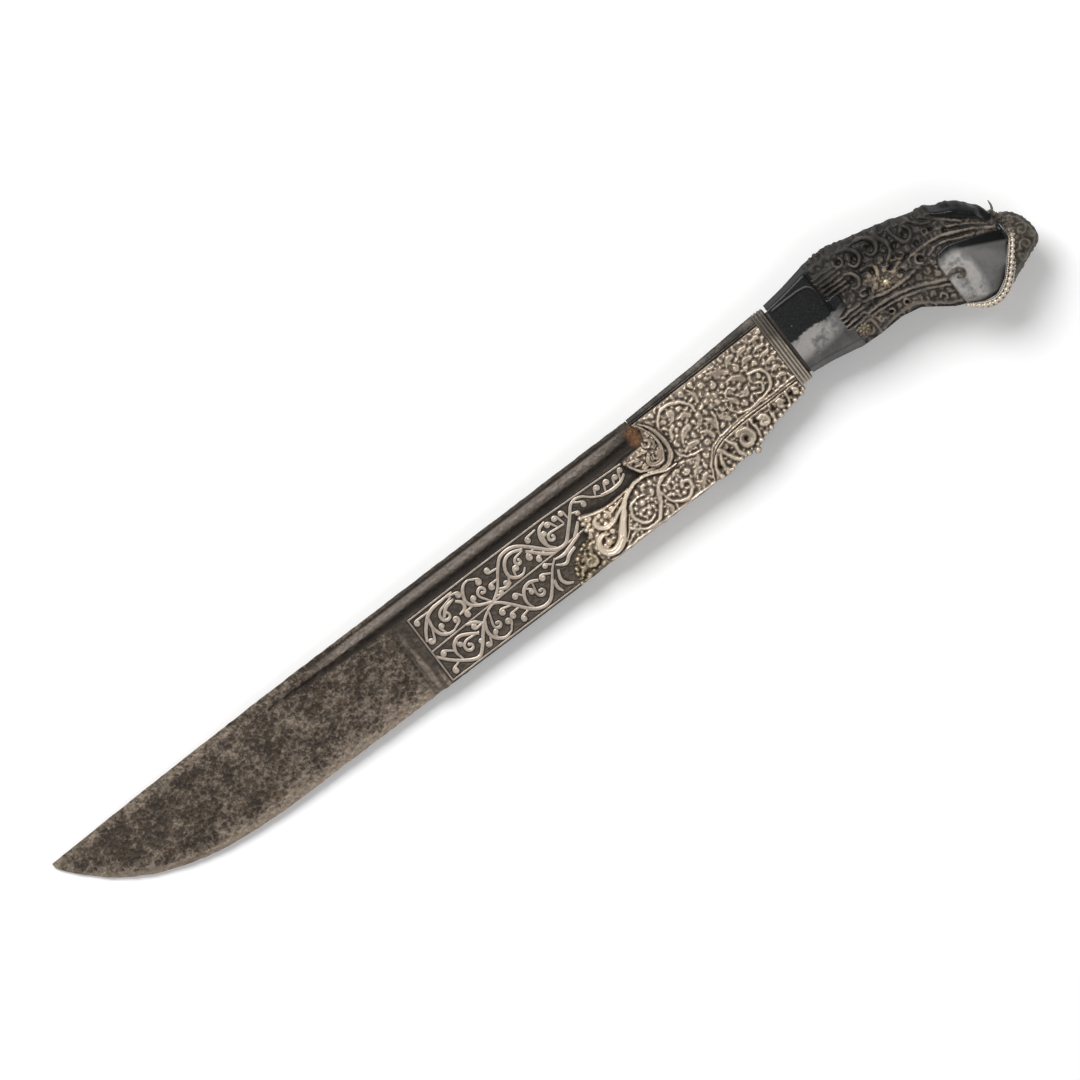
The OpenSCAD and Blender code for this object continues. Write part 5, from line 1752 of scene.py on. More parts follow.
    def volute(self) -> Shell:
        """The big volute with its rising band, and the lobe over it.

        Returns:
            The front one.
        """
        r = Relief((173, 208.5), (-29.6, -12.4), 0.16, 0.14)
        r.strokes([self.volute_ring], 2.3, 0.2)
        r.ball(179.2, -24.2, 1.25, 2.4)
        r.strokes([self.band], 1.9, 0.2)
        r.strokes([self.volute_line], 1.0)
        r.strokes([self.upper_curl], 2.0, 0.2)
        r.ball(181, -18.2, 0.65, 1.8)
        r.strokes(self.wisps, 1.3, 0.1)
        r.balls(self.volute_rim, 1.2)
        r.clear = np.maximum(r.clear, LOWER_RIM - r.y)
        return self.raised(r, smooth(self.volute_body), 1.42)

    def fan(self) -> Shell:
        """The golden fan leaf: a curl, ribs that spread from it, and a scalloped rim.

        Returns:
            The front one.
        """
        r = Relief((164.4, 178.6), (-29.6, -18.2), 0.14, 0.28)
        centre = np.array([171.9, -25.4])
        rim = smooth(self.fan_rim, 8)
        for k, (x, y) in enumerate(resample(rim, 12)):
            r.ball(x, y, 0.62 + 0.2 * math.sin(k * 2.4), 1.0)
        for k, point in enumerate(resample(beside(rim, 1.3), 8)):
            d = (point - centre) / np.linalg.norm(point - centre)
            r.leaf(point - d * 2.4, point, 0.8, 1.2, 0.35 if k % 2 else -0.35)
        r.stroke(spiral(centre, 1.9, 0.4, 60, -1.4), (0.8, 0.85, 0.7), 1.7)
        for ball in self.fan_balls:
            r.ball(*ball)
        body = inside(np.vstack((beside(rim, 0.1), [(178, -29.1), (178, -19.4)])), r.x, r.y)
        within = np.minimum(np.maximum(-r.clear, body), r.y - LOWER_RIM)
        r.clear = np.minimum(r.clear, within - 0.2)
        r.fill(within > 0.3, 3, 0.35, 0.8, 0.9, gap=0.02)
        r.wear(0.17)
        edge = step_up(within, 0.0, 0.3)
        top = 0.6 * (0.6 + 0.4 * edge) + r.height
        return r.solid(within, top, 0.0, FORTE.lift(Side.FRONT), r.tone(0.6, 0.95) * 0.94)

    def build(self, silver: Material, gold: Material) -> None:
        """Makes the plates and their forms on both faces.

        Args:
            silver: finish of the plates, leaves and volutes.
            gold: finish of the fan leaves.
        """
        forms = (("forte_plate", "chased_plate", self.plate(), silver, "chased_silver"),
                 ("upper_leaf", "curling_leaf", self.upper_leaf(), silver, "chased_silver"),
                 ("lower_volute", "great_volute", self.volute(), silver, "chased_silver"),
                 ("fan_leaf", "beaded_fan", self.fan(), gold, "golden_brass"))
        for node, name, shell, finish, slot in forms:
            for side in Side:
                shell.faced(side).make(f"{name}_{side.word}", finish, slot, f"{node}_{side.word}")


def upright(x: Array, y: Array, z: Array) -> Array:
    """Lays drawn points in the knife's frame as they are."""
    return np.stack((x, y, z), 1)


@dataclass
class Fringe:
    """The openwork of curls under the choil, alike on both faces."""

    half: float = 2.4
    rise: float = 0.95
    curls: tuple = (((227.2, -24.5), 3.6, 0.7, 120, -1.4, 1.15), ((234.2, -23.5), 2.4, 0.45, 120, -1.35, 0.9),
                    ((240.6, -22.6), 1.9, 0.4, 120, -1.3, 0.78), ((246.2, -22.1), 1.5, 0.35, 120, -1.2, 0.64))
    strokes: tuple = (
        (((217.4, -23), (215.6, -25.4), (215, -27.6), (215.8, -29)), (0.4, 0.7, 0.7, 0.45)),
        (((218.8, -23.6), (217.6, -26), (217.6, -28.2), (219, -29)), (0.5, 0.8, 0.8, 0.5)),
        (((218.6, -21.9), (220, -24), (221, -26.4), (222.6, -28.2)), (0.5, 0.85, 0.85, 0.55)),
        (((222.4, -21.2), (223.4, -23.6), (223.4, -26.2), (224.2, -28.2)), (0.5, 0.85, 0.8, 0.5)),
        (((231.2, -20.8), (231.4, -23), (230.8, -26)), (0.5, 0.75, 0.6)),
        (((237.8, -20.4), (237.4, -22.6), (236.8, -24.8)), (0.45, 0.65, 0.5)),
        (((243.6, -20.3), (243.4, -22), (242.8, -23.8)), (0.4, 0.55, 0.45)))
    balls: tuple = (
        (227.8, -29, 1.0), (225.4, -28, 0.85), (230.2, -27.3, 0.85), (236.6, -25.5, 0.75),
        (232.4, -26.5, 0.8), (242.2, -24.3, 0.7), (238.6, -25.1, 0.7), (247, -23.6, 0.6),
        (234.6, -26.2, 0.75), (240.4, -24.8, 0.65), (244.6, -24, 0.65), (222.6, -28.2, 0.8),
        (215.2, -28.8, 0.7), (217.4, -29, 0.7), (219.8, -28.5, 0.75))
    rim: tuple = (
        (213.6, -28.9), (216.4, -29.5), (219, -28.9), (222, -28.6), (225, -28.3), (229, -28.3), (231.6, -27),
        (234.6, -26.4), (237.4, -25.5), (240.6, -25.1), (243.4, -24.5), (245.8, -24.2), (247.8, -23.6))
    holes: tuple = ((227.2, -24.3, 0.8), (237.9, -22.4, 0.7), (244.6, -21.9, 0.65), (221.4, -24.4, 0.6),
                    (231.8, -22.2, 0.5), (216.6, -26.8, 0.5), (241.8, -23.2, 0.45))

    def build(self, finish: Material) -> None:
        """Makes the fringe.

        Args:
            finish: the fringe's brass.
        """
        r = Relief((212, 249.4), (-31.4, -19), 0.16, 0.22)
        r.stroke(beside(CHOIL, -0.45)[3:], (0.5, 0.5), self.rise * 0.6)
        for centre, outer, inner, start, turns, half in self.curls:
            curl = spiral(centre, outer - half * 0.7, inner, start, turns)
            r.stroke(curl, (half * 0.8, half, half * 0.7), self.rise * 1.2, 0.12)
        r.strokes(self.strokes, self.rise, 0.15)
        r.balls(self.balls, self.rise)
        body = inside(np.vstack((smooth(self.rim), [(249, -23.3), (249, -19.5)], CHOIL[::-1])), r.x, r.y)
        steel = inside(np.vstack((CHOIL, [(249.6, -19.9), (249.6, 0), (200, 0), (200, -29.2)])), r.x, r.y)
        within = np.minimum(np.minimum(np.maximum(-r.clear, body), 0.15 - steel), 248.8 - r.x)
        r.clear = np.minimum(r.clear, within - 0.1)
        r.fill(within > 0.25, 11, 0.4, 1.1, self.rise * 0.8, gap=0.02)
        r.wear(0.14)
        # The holes are dark pits, not cut through: painted shade where the openwork opens.
        pits = np.zeros_like(r.x)
        for x, y, radius in self.holes:
            pits = np.maximum(pits, bump(np.hypot(r.x - x, r.y - y), radius))
        top = self.half + r.height * step_up(within, -0.1, 0.3) - 1.3 * pits
        shell = r.solid(within, top, -top, upright, np.clip(r.tone(0.7, 0.95), 0, 1) * (1 - pits))
        shell.make("choil_curls", finish, "golden_brass", "choil_fringe")


@dataclass
class Bolster:
    """The plain strip over the back, and the bands between forte and grip."""

    middle: float = -10.0
    strip_half: float = 3.9
    strip_end: float = 248.9
    strip_top: tuple = ((PLATES_FROM, 225, FORTE_END), (0.1, 0.85, 2.1))
    corner: float = 2.0
    metal: tuple = (24.4, 10.4)
    leather: tuple = (20.6, 11.0)
    band: Path = ((248.5, -0.6), (248.6, -0.3), (248.72, -0.04), (249.05, 0.0), (249.22, -0.24),
                  (249.55, -0.26), (249.72, 0.0), (250.1, 0.0), (250.28, -0.26), (250.6, -0.26))
    rib: Path = ((250.5, -0.26), (250.66, -0.24), (250.8, -0.02), (251.14, -0.02), (251.3, -0.28),
                 (251.5, -0.26))
    washer: Path = ((252.35, -0.25), (252.5, 0.0), (253.2, 0.08), (253.85, 0.0), (254.0, -0.3))

    def ring(self, x: float, high: float, wide: float, corner: float) -> Array:
        """A rounded rectangle across the knife.

        Args:
            x: its place along the knife.
            high: its height.
            wide: its thickness.
            corner: radius of its corners.
        Returns:
            Its points.
        """
        a = np.linspace(0, math.pi / 2, 9)
        points = []
        for k, (sy, sz) in enumerate(((1, 1), (-1, 1), (-1, -1), (1, -1))):
            t = a + k * math.pi / 2
            points.append(np.stack((sy * (high / 2 - corner) + corner * np.cos(t),
                                    sz * (wide / 2 - corner) + corner * np.sin(t)), 1))
        p = np.vstack(points)
        return np.column_stack((np.full(len(p), x), p[:, 0] + self.middle, p[:, 1]))

    def turned(self, profile: Path, high: float, wide: float) -> Shell:
        """A band whose profile is given as places along the knife and how far it stands out there.

        Args:
            profile: its places and how far it stands out.
            high: height of its core.
            wide: thickness of its core.
        Returns:
            The band.
        """
        rings = np.array([self.ring(x, high + 2 * out, wide + 2 * out, self.corner + out)
                          for x, out in profile])
        # Darker in the grooves; painted shade near the back, and a painted highlight at the lower end.
        tones = np.repeat([1.06 + 2.4 * min(out, 0.0) for _, out in profile], rings.shape[1])
        y = rings[..., 1].ravel()
        tones = tones * (1 - 0.55 * step_up(y, -2.0, 0.6)) + 0.3 * (1 - step_up(y, -22, -18.5))
        return loft(rings, np.clip(tones, 0.05, 1))

    def strip(self) -> Shell:
        """The strip over the back, with its edges rounded and a line cut along each face.

        Returns:
            The strip.
        """
        x = np.linspace(PLATES_FROM, self.strip_end, 60)
        top = np.interp(x, *self.strip_top) + 0.04 * soft_noise(x, 0 * x, 3.0, 3)
        low = np.interp(x, (PLATES_FROM, FORTE_END), STRIP_LOW)
        rings, h = [], self.strip_half
        for px, t, b in zip(x, top, low):
            half = [(b, h), (b + 0.25, h + 0.12), (b + 0.5, h), (b + 0.62, h - 0.2), (b + 0.74, h),
                    (t - 0.5, h - 0.05), (t - 0.16, h - 0.3), (t, h - 0.8)]
            rings.append([(px, y, z) for y, z in half] + [(px, y, -z) for y, z in reversed(half)])
        rings = np.array(rings)
        return loft(rings, 0.2 - 0.12 * (rings[..., 1] < low[:, None] + 0.1))

    def build(self, silver: Material, leather: Material) -> None:
        """Makes the strip, the band, the bead and the washer.

        Args:
            silver: finish of strip, band and bead.
            leather: finish of the washer.
        """
        self.strip().make("back_cover", silver, "plain_silver", "back_strip", sharp=60)
        rounded = [(251.75 + 0.62 * math.sin(a), -0.9 + 0.82 * math.cos(a))
                   for a in np.linspace(0, math.pi / 2, 7)]
        for name, profile, size, finish, slot, node in (
                ("lined_band", self.band, self.metal, silver, "plain_silver", "end_band"),
                ("round_bead", [*self.rib, *rounded], self.metal, silver, "plain_silver", "bead_ring"),
                ("washer", self.washer, self.leather, leather, "washer_leather", "grip_spacer")):
            self.turned(profile, *size).make(name, finish, slot, node, sharp=60)


@dataclass
class Grip:
    """The carved horn scales on the tang."""

    area: tuple = ((251, 323), (-38, 8))
    step: float = 0.2
    front: float = 253.3
    ground: float = -0.75
    crest: float = 0.3
    columns: int = 380
    rows: int = 132
    walls: int = 8
    carved_field: tuple = (
        (268.4, 8), (289, 6), (302, 3), (304.8, -2.6), (307, -7.2), (312, -11.2), (316.2, -14.6),
        (318.8, -17.4), (318, -20.2), (311, -17.4), (304.5, -15.2), (301, -15.6), (299.2, -19), (299, -38),
        (269.9, -30), (269.8, -17.9), (268.2, -17.7), (268.2, -13.3), (271.8, -12.2), (271.8, -7.6),
        (268.4, -7.4))
    strokes: tuple = (
        (((275.4, -17.2), (281, -17.3), (287, -18.3), (292, -20), (296, -21.8), (299, -23)), (0.55, 0.55),
         1.0),
        (((275.4, -18.7), (281, -18.8), (287, -19.8), (292, -21.6), (295.6, -23.2), (298.8, -24.8)),
         (0.35, 0.4), 0.8),
        (((293.5, -11.6), (297, -11.4), (301.5, -11.6), (306, -12.6), (311, -14.8), (315, -17), (318, -19)),
         (0.5, 0.6, 0.5), 1.0),
        (((299, -14.6), (302, -13.6), (305.6, -14.4), (309, -15.8), (312.6, -17.2)), (0.35, 0.45, 0.35), 0.8),
        (((301, -9.2), (305, -9.9), (309, -11.8), (313, -14.2), (316.6, -16.6)), (0.35, 0.45, 0.35), 0.8),
        (((303, -4.2), (305.4, -6.6), (308, -9), (312, -12.2)), (0.4, 0.5, 0.4), 0.8),
        (((276.4, -14), (280, -14.9), (284, -15.8), (289, -16), (293, -15.6)), (0.45, 0.6, 0.45), 0.85),
        (((276.6, -23.4), (283, -22.7), (288, -23.4), (292, -26.2), (295.6, -29), (298.6, -30.4)), (0.5, 0.6),
         0.85), (((269.8, -19.1), (275.2, -19.1)), (0.45, 0.45), 0.9),
        (((275.4, -19), (275.5, -24)), (0.45, 0.45), 0.95),
        (((294, -2), (294.4, -5), (295.6, -7.2), (297.8, -7.4), (299, -5.4), (298, -3.6)),
         (0.6, 0.75, 0.7, 0.5), 1.0),
        (((278.8, 1.8), (281.6, 0.6), (283.2, -1.6), (282.6, -4), (280.4, -4.6), (279.6, -3)),
         (0.6, 0.8, 0.7, 0.5), 1.0),
        (((284.6, 1.4), (287.6, 0.4), (289, -1.8), (288.2, -4.4), (286, -4.8), (285.2, -3.2)),
         (0.6, 0.8, 0.7, 0.5), 1.0),
        (((289.8, 1), (290.4, -1.8), (291.6, -4.6), (290.8, -7.4), (288.6, -8.6)), (0.6, 0.8, 0.7, 0.45),
         1.0), (((299.6, -1.6), (300.6, -4), (302.4, -6), (304.8, -7.4)), (0.6, 0.7, 0.45), 0.95),
        (((276.4, -4.4), (278.6, -5.6), (279.4, -8), (277.8, -9.6), (276, -9)), (0.55, 0.7, 0.7, 0.5), 1.0),
        (((281, -6.4), (283.6, -6.6), (285, -8.4), (284, -10.2)), (0.5, 0.7, 0.5), 0.95))
    rings: tuple = (
        (296.2, -13.8, 1.6, 0.55), (277.4, -0.7, 1.5, 0.6), (286, -1.9, 1.2, 0.45), (273.2, -21.4, 1.4, 0.5),
        (281.2, -20.9, 1.0, 0.4), (286, -21.3, 1.0, 0.4), (290.6, -24, 1.1, 0.45), (295.2, -26.4, 1.2, 0.5),
        (278, -12, 1.1, 0.5), (292.4, -9.6, 1.2, 0.5), (301.8, -8.2, 0.9, 0.4), (277.6, -21, 0.8, 0.4))
    pits: tuple = (
        (277.4, -0.7, 0.9), (281.4, -2.6, 0.9), (286.8, -2.6, 0.9), (277.4, -7.4, 1.0), (292.6, -6.4, 0.9),
        (296.8, -5.4, 0.9), (283.2, -8.4, 0.7), (293.4, -10.9, 0.9), (296.2, -13.8, 0.8), (301.6, -3.4, 0.8),
        (279.6, -12.2, 0.8), (290, -13.4, 0.8), (273.2, -21.4, 0.6), (292.2, 0.2, 0.7), (288.4, -11, 0.7),
        (281.2, -20.9, 0.5), (286, -21.3, 0.5), (303.6, -9, 0.6), (306.8, -11, 0.6), (298.2, -9.4, 0.7))
    bars: tuple = ((268.4, 276, -0.6, 6), (267.8, 275.4, -13.9, 4))
    bar_pitch: float = 1.38
    hook: tuple = ((298.4, -22.9), (300.6, -22.2), (302.6, -22.4), (303.7, -23.5), (303, -24.6),
                   (301.8, -24.2))
    arch: tuple = ((254.6, -0.5), (261, -0.4), (265.4, -0.7), (267.1, -2.2), (267.4, -4.6), (267, -7.6))
    seam: float = 299.1
    notches: tuple = (270.4, 272.2, 274.1, 276.2, 289.8, 302.4)

    def forms(self) -> tuple[Relief, Array]:
        """The height map of the carved forms, and the distance to the carved field's outline.

        Returns:
            The map and the distance.
        """
        r = Relief(*self.area, self.step, 0.2)
        field_edge = inside(self.carved_field, r.x, r.y)
        for path, radii, rise in self.strokes:
            r.stroke(smooth(path), radii, rise, 0.15)
        for x0, x1, y, count in self.bars:
            for k in range(count):
                high = y - self.bar_pitch * k
                r.stroke([(x0 + 0.25 * k, high), (x1, high)], (0.44, 0.44), 0.85, power=0.35)
        for k, (x, y, radius, half) in enumerate(self.rings):
            ring = spiral((x, y), radius, radius * 0.75, 137.5 * k, 0.72)
            r.stroke(ring, (half * 0.6, half, half * 1.15), 0.9)
        r.clear = np.minimum(r.clear, field_edge - 0.1)
        r.fill(field_edge > 0.2, 19, 0.5, 1.5, 0.6, (Motif.CURL, Motif.LEAF, Motif.LEAF), gap=0.04)
        r.height = r.height * (0.8 + 0.35 * soft_noise(r.x, r.y, 3.4, 8))
        for x, y, radius in self.pits:
            r.height = r.height - 0.95 * bump(np.hypot(r.x - x, r.y - y), radius)
        r.wear(0.15)
        return r, field_edge

    def crowned(self, r: Relief, carve: Array) -> Array:
        """The carving with the notched crown that runs along the grip's back, and its swell at the bulb.

        Args:
            r: the map whose places are used.
            carve: how far the carving stands out.
        Returns:
            The same with the crown and the swell.
        """
        rim = r.y - np.interp(r.x, BACKS[:, 0], BACKS[:, 1])
        bumps = 0.12 + 0.35 * soft_noise(r.x, 0 * r.x, 1.5, 6) + 0.25 * soft_noise(r.x, 0 * r.x, 0.8, 7)
        for x in self.notches:
            bumps = bumps - 0.9 * bump(r.x - x, 0.35)
        long = stretch(r.x, (268, 269), (318.6, 319.6))
        near = long * step_up(rim, -1.6, -0.4)
        swell = (0.25 + 0.75 * step_up(r.x, 308, 314)) * step_up(r.x, 299, 305)
        return carve * (1 - near) + near * bumps + swell * long * step_up(rim, -3.5, -0.8)

    def carving(self) -> tuple[Relief, Array, Array]:
        """The carving's height map, its mask, and how far it stands over the polished surface.

        Returns:
            The map, the mask and the heights.
        """
        r, field_edge = self.forms()
        mask = step_up(field_edge, -0.1, 0.3)
        carve = mask * (self.ground + (self.crest - self.ground) * np.maximum(r.height, -0.5))
        carve = self.crowned(r, carve)
        extra, lines = Relief(*self.area, self.step), Relief(*self.area, self.step)
        extra.stroke(smooth(self.hook), (0.4, 0.85, 1.0, 0.85, 0.5), 0.9)
        lines.stroke(smooth(self.arch), (0.3, 0.3), 0.05)
        extra.height = np.maximum(extra.height, lines.height)
        carve = np.where(extra.height > 0, np.maximum(carve, extra.height), carve)
        seam = bump(r.x - self.seam, 0.3) * step_up(-r.y, 18, 20) * 0.6
        lined = np.maximum(step_up(extra.height, 0.25, 0.6), 0.3 * step_up(lines.height, 0.0, 0.05))
        return r, np.maximum(mask, lined), carve - seam

    def surface(self) -> Array:
        """The front scale's plain surface: rings from the tang's back edge over the face to the belly.

        Returns:
            An array of rings, points and three numbers.
        """
        backs, bellies = BACKS.copy(), BELLIES.copy()
        backs[0, 0] = bellies[0, 0] = self.front
        steps = np.linalg.norm(np.diff((backs + bellies) / 2, axis=0), axis=1)
        run = np.concatenate(([0], np.cumsum(steps + 0.25 * np.linalg.norm(np.diff(backs, axis=0), axis=1))))
        at = np.linspace(0, run[-1], self.columns)
        kernel = np.hanning(13)[1:-1]
        kernel /= kernel.sum()

        def along(values: Array) -> Array:
            """One value along the grip, with its corners eased.

            Args:
                values: one for each station.
            Returns:
                One for each column.
            """
            fine = np.interp(at, run, values)
            eased = np.convolve(np.pad(fine, 5, mode="edge"), kernel, "valid")
            return fine + (eased - fine) * np.clip(from_ends(len(fine)) / 6.0, 0, 1)

        back, belly = (np.stack((along(line[:, 0]), along(line[:, 1])), 1) for line in (backs, bellies))
        across = np.linspace(0, 1, self.rows)
        rise = np.interp(across, SECTION[:, 0], SECTION[:, 1])
        rise = np.convolve(np.pad(rise, 2, mode="edge"), (0.1, 0.2, 0.4, 0.2, 0.1), "valid")
        xy = back[:, None] + (belly - back)[:, None] * across[None, :, None]
        top = np.concatenate((xy, (along(HALVES)[:, None] * rise[None, :])[..., None]), -1)
        levels = np.linspace(0, 1, self.walls, endpoint=False)[None, :, None]
        wall = []
        for line, rim in ((back, top[:, :1]), (belly, top[:, -1:])):
            foot = np.concatenate((line, np.full((len(line), 1), TANG_HALF)), -1)[:, None]
            wall.append(foot + (rim - foot) * levels)
        return np.concatenate((wall[0], top, wall[1][:, ::-1]), 1)

    def scale(self) -> Shell:
        """The front scale, carved.

        Returns:
            The solid.
        """
        grid = self.surface()
        normal = unit(np.cross(np.gradient(grid, axis=1), np.gradient(grid, axis=0)))
        if normal[:, grid.shape[1] // 2, 2].mean() < 0:
            normal = -normal
        r, mask, carve = self.carving()
        x, y = grid[..., 0], grid[..., 1]
        push = r.sample(carve, x, y)
        push[:, [0, -1]] = 0
        push = push * np.clip(from_ends(len(grid))[:, None] / 3.0, 0, 1)
        shell = loft(grid + normal * push[..., None])
        shell.marks = {"relief": r.sample(r.tone(0.8, 1.1), x, y).ravel(),
                       "carved": r.sample(mask, x, y).ravel()}
        return shell

    def build(self, horn: Material, brass: Material) -> None:
        """Makes the scales, and dresses the strips over the tang's edges.

        Args:
            horn: finish of the scales.
            brass: finish of the strips.
        """
        shell = self.scale()
        for side in Side:
            piece = shell.faced(side)
            piece.make(f"carved_scale_{side.word}", horn, "horn", f"horn_scale_{side.word}", sharp=60)
        for node in ("tang_strip_back", "tang_strip_belly"):
            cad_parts[node].data.materials[0] = brass


@dataclass
class Rivets:
    """Two rivets through the grip, with rosettes under their heads."""

    centres: tuple = ((284.785, -13.25, 8.29), (272.11, -20.02, 6.4))
    ring: float = 1.2
    washer: tuple = (3.4, 3.4, 1.69)
    disc_half: float = 0.25
    disc_lift: float = 0.35
    petal_lift: float = 0.62
    head: tuple = ((1.25, 0.4), (1.0, 0.75), (0.6, 0.9))

    def rosettes(self, finish: Material) -> Shell:
        """The front rosettes: a thin disc under each head, with petals round it.

        Args:
            finish: what they are made of.
        Returns:
            Both as one shell.
        """
        host = paths_host([np.zeros((1, 3))], [(1.0,)], [0.0])
        points, faces = petal_growth().grow(host, finish, Ring=self.ring)
        shells = []
        for x, y, z in self.centres:
            disc = prism(Bolster().ring(0, *self.washer)[:, 1:] - (Bolster.middle, 0), self.disc_half)
            disc.points = disc.points + (x, y, z + self.disc_lift)
            shells.append(Shell(points + (x, y, z + self.petal_lift), faces).joined(disc))
        shell = shells[0].joined(shells[1])
        shell.marks = {"relief": np.full(len(shell.points), 0.3)}
        return shell

    def pins(self) -> Shell:
        """The rivets, each with a domed head at both ends; the rear one painted bright as a highlight.

        Returns:
            Both as one shell.
        """
        a = np.linspace(0, 2 * math.pi, 20, endpoint=False)
        shells = []
        for x, y, z in self.centres:
            levels = [(-z - h, q) for h, q in self.head] + [(z + h, q) for h, q in reversed(self.head)]
            rings = [np.stack((x + q * np.cos(a), y + q * np.sin(a), np.full(20, h)), 1) for h, q in levels]
            shells.append(loft(np.array(rings)))
        pins = shells[0].joined(shells[1])
        bright = len(shells[0].points)
        # Painted highlight: the rear rivet's points get a high tone.
        pins.marks = {"relief": np.where(np.arange(len(pins.points)) < bright, 0.95, 0.3)}
        return pins

    def build(self, finish: Material) -> None:
        """Makes the rosettes and the rivets.

        Args:
            finish: the brass of both.
        """
        shell = self.rosettes(finish)
        for side in Side:
            piece = shell.faced(side)
            piece.make(f"petal_rosettes_{side.word}", finish, "golden_brass", f"rosettes_{side.word}")
        self.pins().make("domed_rivets", finish, "golden_brass", "grip_rivets", sharp=50)


@dataclass
class Pommel:
    """The beaded bezel round the bulb's end, the chased cap and the bent pin."""

    thick: float = 16.4
    round: float = 26.0
    cap_step: float = 0.5
    centre: tuple = (309.0, -23.75)
    chord: tuple = (-0.7556, -0.6551)
    columns: int = 150
    rows: int = 44
    rim_drop: float = 0.18
    line_depth: float = 0.16
    line_turn: float = 34.0
    bead_rows: tuple = ((0.2, 0.05, 0.3), (0.62, 0.22, 0.74), (0.95, 1.1, 0.42))
    rim_line: Path = ((320.6, -18), (323.4, -19.9), (325, -22.6), (325.6, -26.2), (324.6, -28.8),
                      (320.6, -30.6), (316, -32.6))
    bent: Path = ((319.9, -15.8, 0), (320.7, -14.8, 0), (321.1, -13.6, 0), (321.2, -12.2, 0))
    bulb: tuple = ((318.4, -15.6), (319.7, -19.7), (319.5, -22.7), (318.3, -25.3), (312, -32.3),
                   (307.6, -34.8), (303.6, -34.2), (299.6, -31.9))
    cap: tuple = ((320.4, -16.4), (323.4, -18), (325.4, -20.3), (326.6, -23.4), (326.9, -26.8), (326.3, -29),
                  (324.6, -30.3), (321.4, -31.4), (317.4, -33.1), (312.6, -35.2))
    scrolls: tuple = (((323.6, -24.4), 1.8, 90), ((322.2, -28.2), 1.7, 200), ((322.8, -20.4), 1.3, 300),
                      ((319.4, -30.2), 1.3, 20), ((325, -27.2), 1.0, 120))

    def lens(self, xy: Array, thick: float) -> Array:
        """Half the thickness of the lens across the bulb's end, at points of the side view."""
        s = (xy[..., 0] - self.centre[0]) * self.chord[0] + (xy[..., 1] - self.centre[1]) * self.chord[1]
        return np.sqrt(self.round**2 - s**2) - (self.round - thick / 2)

    def line(self) -> Array:
        """The line round the bulb's end on which the bezel sits."""
        return resample(smooth(self.bulb), 90)

    def reach(self, count: int) -> Array:
        """The bezel's width from the top of the bulb to its lower end, where it runs out thin."""
        return np.interp(np.linspace(0, 1, count), (0, 0.1, 0.62, 0.85, 1), (1.9, 2.2, 2.4, 1.9, 0.9))

    def bezel(self, finish: Material) -> None:
        """Makes the bezel: a lined band with rows of beads on its faces and along its rims.

        Args:
            finish: the bezel's silver.
        """
        line = self.line()
        reach = self.reach(len(line))
        rings = []
        for k, base in enumerate(line):
            n = beside(line, 1.0)[k] - base
            half = float(self.lens(base, self.thick))
            ring = []
            for z in np.linspace(-1, 1, 25):
                out = reach[k] - 0.25 - self.rim_drop * (abs(z) > 0.94)
                out -= self.line_depth * math.cos(z * self.line_turn)
                ring.append((*(base + n * out), z * (half - 0.1)))
            ring += [(*(base + n * o), s * (half - 0.1)) for s, o in
                     ((1, reach[k] * 0.55), (1, 0.1), (-1, 0.1), (-1, reach[k] * 0.55))]
            rings.append(ring)
        band = loft(np.array(rings), np.full((len(rings), len(rings[0])), 0.22))
        growth, parts = bead_growth(), []
        for share, sink, bead in self.bead_rows:
            path = beside(line, reach * share)
            for sign in (1, -1):
                z = sign * (self.lens(line, self.thick) - sink)
                host = paths_host([np.column_stack((path, z))], [(1.0,)], [0.0])
                points, faces = growth.grow(host, finish, Pitch=bead * 2.1, Bead=bead, Wire=bead * 0.5)
                # Painted light: beads lighter towards the bezel's lower end.
                lit = 0.25 + 0.65 * step_up(-points[:, 1], 20, 26)
                parts.append(Shell(points, faces, {"relief": lit}))
        band.joined(*parts).make("beaded_bezel", finish, "bezel_silver", "pommel_bezel", sharp=50)

    def dome(self, outer: Array, inner: Array, relief: Relief | None) -> Shell:
        """A dome over both faces, from its rim to the bezel.

        Args:
            outer: its rim in the side view.
            inner: as many points on the bezel.
            relief: the map of its chasing, or nothing.
        Returns:
            The solid, with the chasing as its mark.
        """
        t = 1 - np.cos(np.linspace(0, math.pi / 2, self.rows))
        t[-1] = 1.0
        xy = outer[:, None] + (inner - outer)[:, None] * t[None, :, None]
        full = self.lens(xy, self.thick - 2 * self.cap_step)
        far = np.linalg.norm(xy - outer[:, None], axis=-1)
        z = full * (1 - (1 - np.clip(far / 6.5, 0, 1)) ** 2.4) ** 0.55
        grid = np.concatenate((xy, z[..., None]), -1)
        shade = np.full(grid.shape[:2], 0.5)
        if relief is None:
            grid[..., 2] = np.maximum(grid[..., 2] - 0.9, 0)
        else:
            chased = relief.sample(relief.height, xy[..., 0], xy[..., 1])
            shade = relief.sample(relief.tone(0.7, 0.75), xy[..., 0], xy[..., 1])
            normal = unit(np.cross(np.gradient(grid, axis=0), np.gradient(grid, axis=1)))
            normal *= np.sign(normal[len(outer) // 2, self.rows * 2 // 3, 2])
            fade = np.clip(from_ends(len(outer)) / 6, 0, 1)[:, None]
            fade = fade * np.clip(np.arange(self.rows) / 5, 0, 1)[None]
            grid = grid + normal * (chased * fade * 0.8)[..., None]
        ring = np.concatenate((grid[:, ::-1], grid[:, 1:] * (1, 1, -1)), 1)
        return loft(ring, np.concatenate((shade[:, ::-1], shade[:, 1:]), 1))

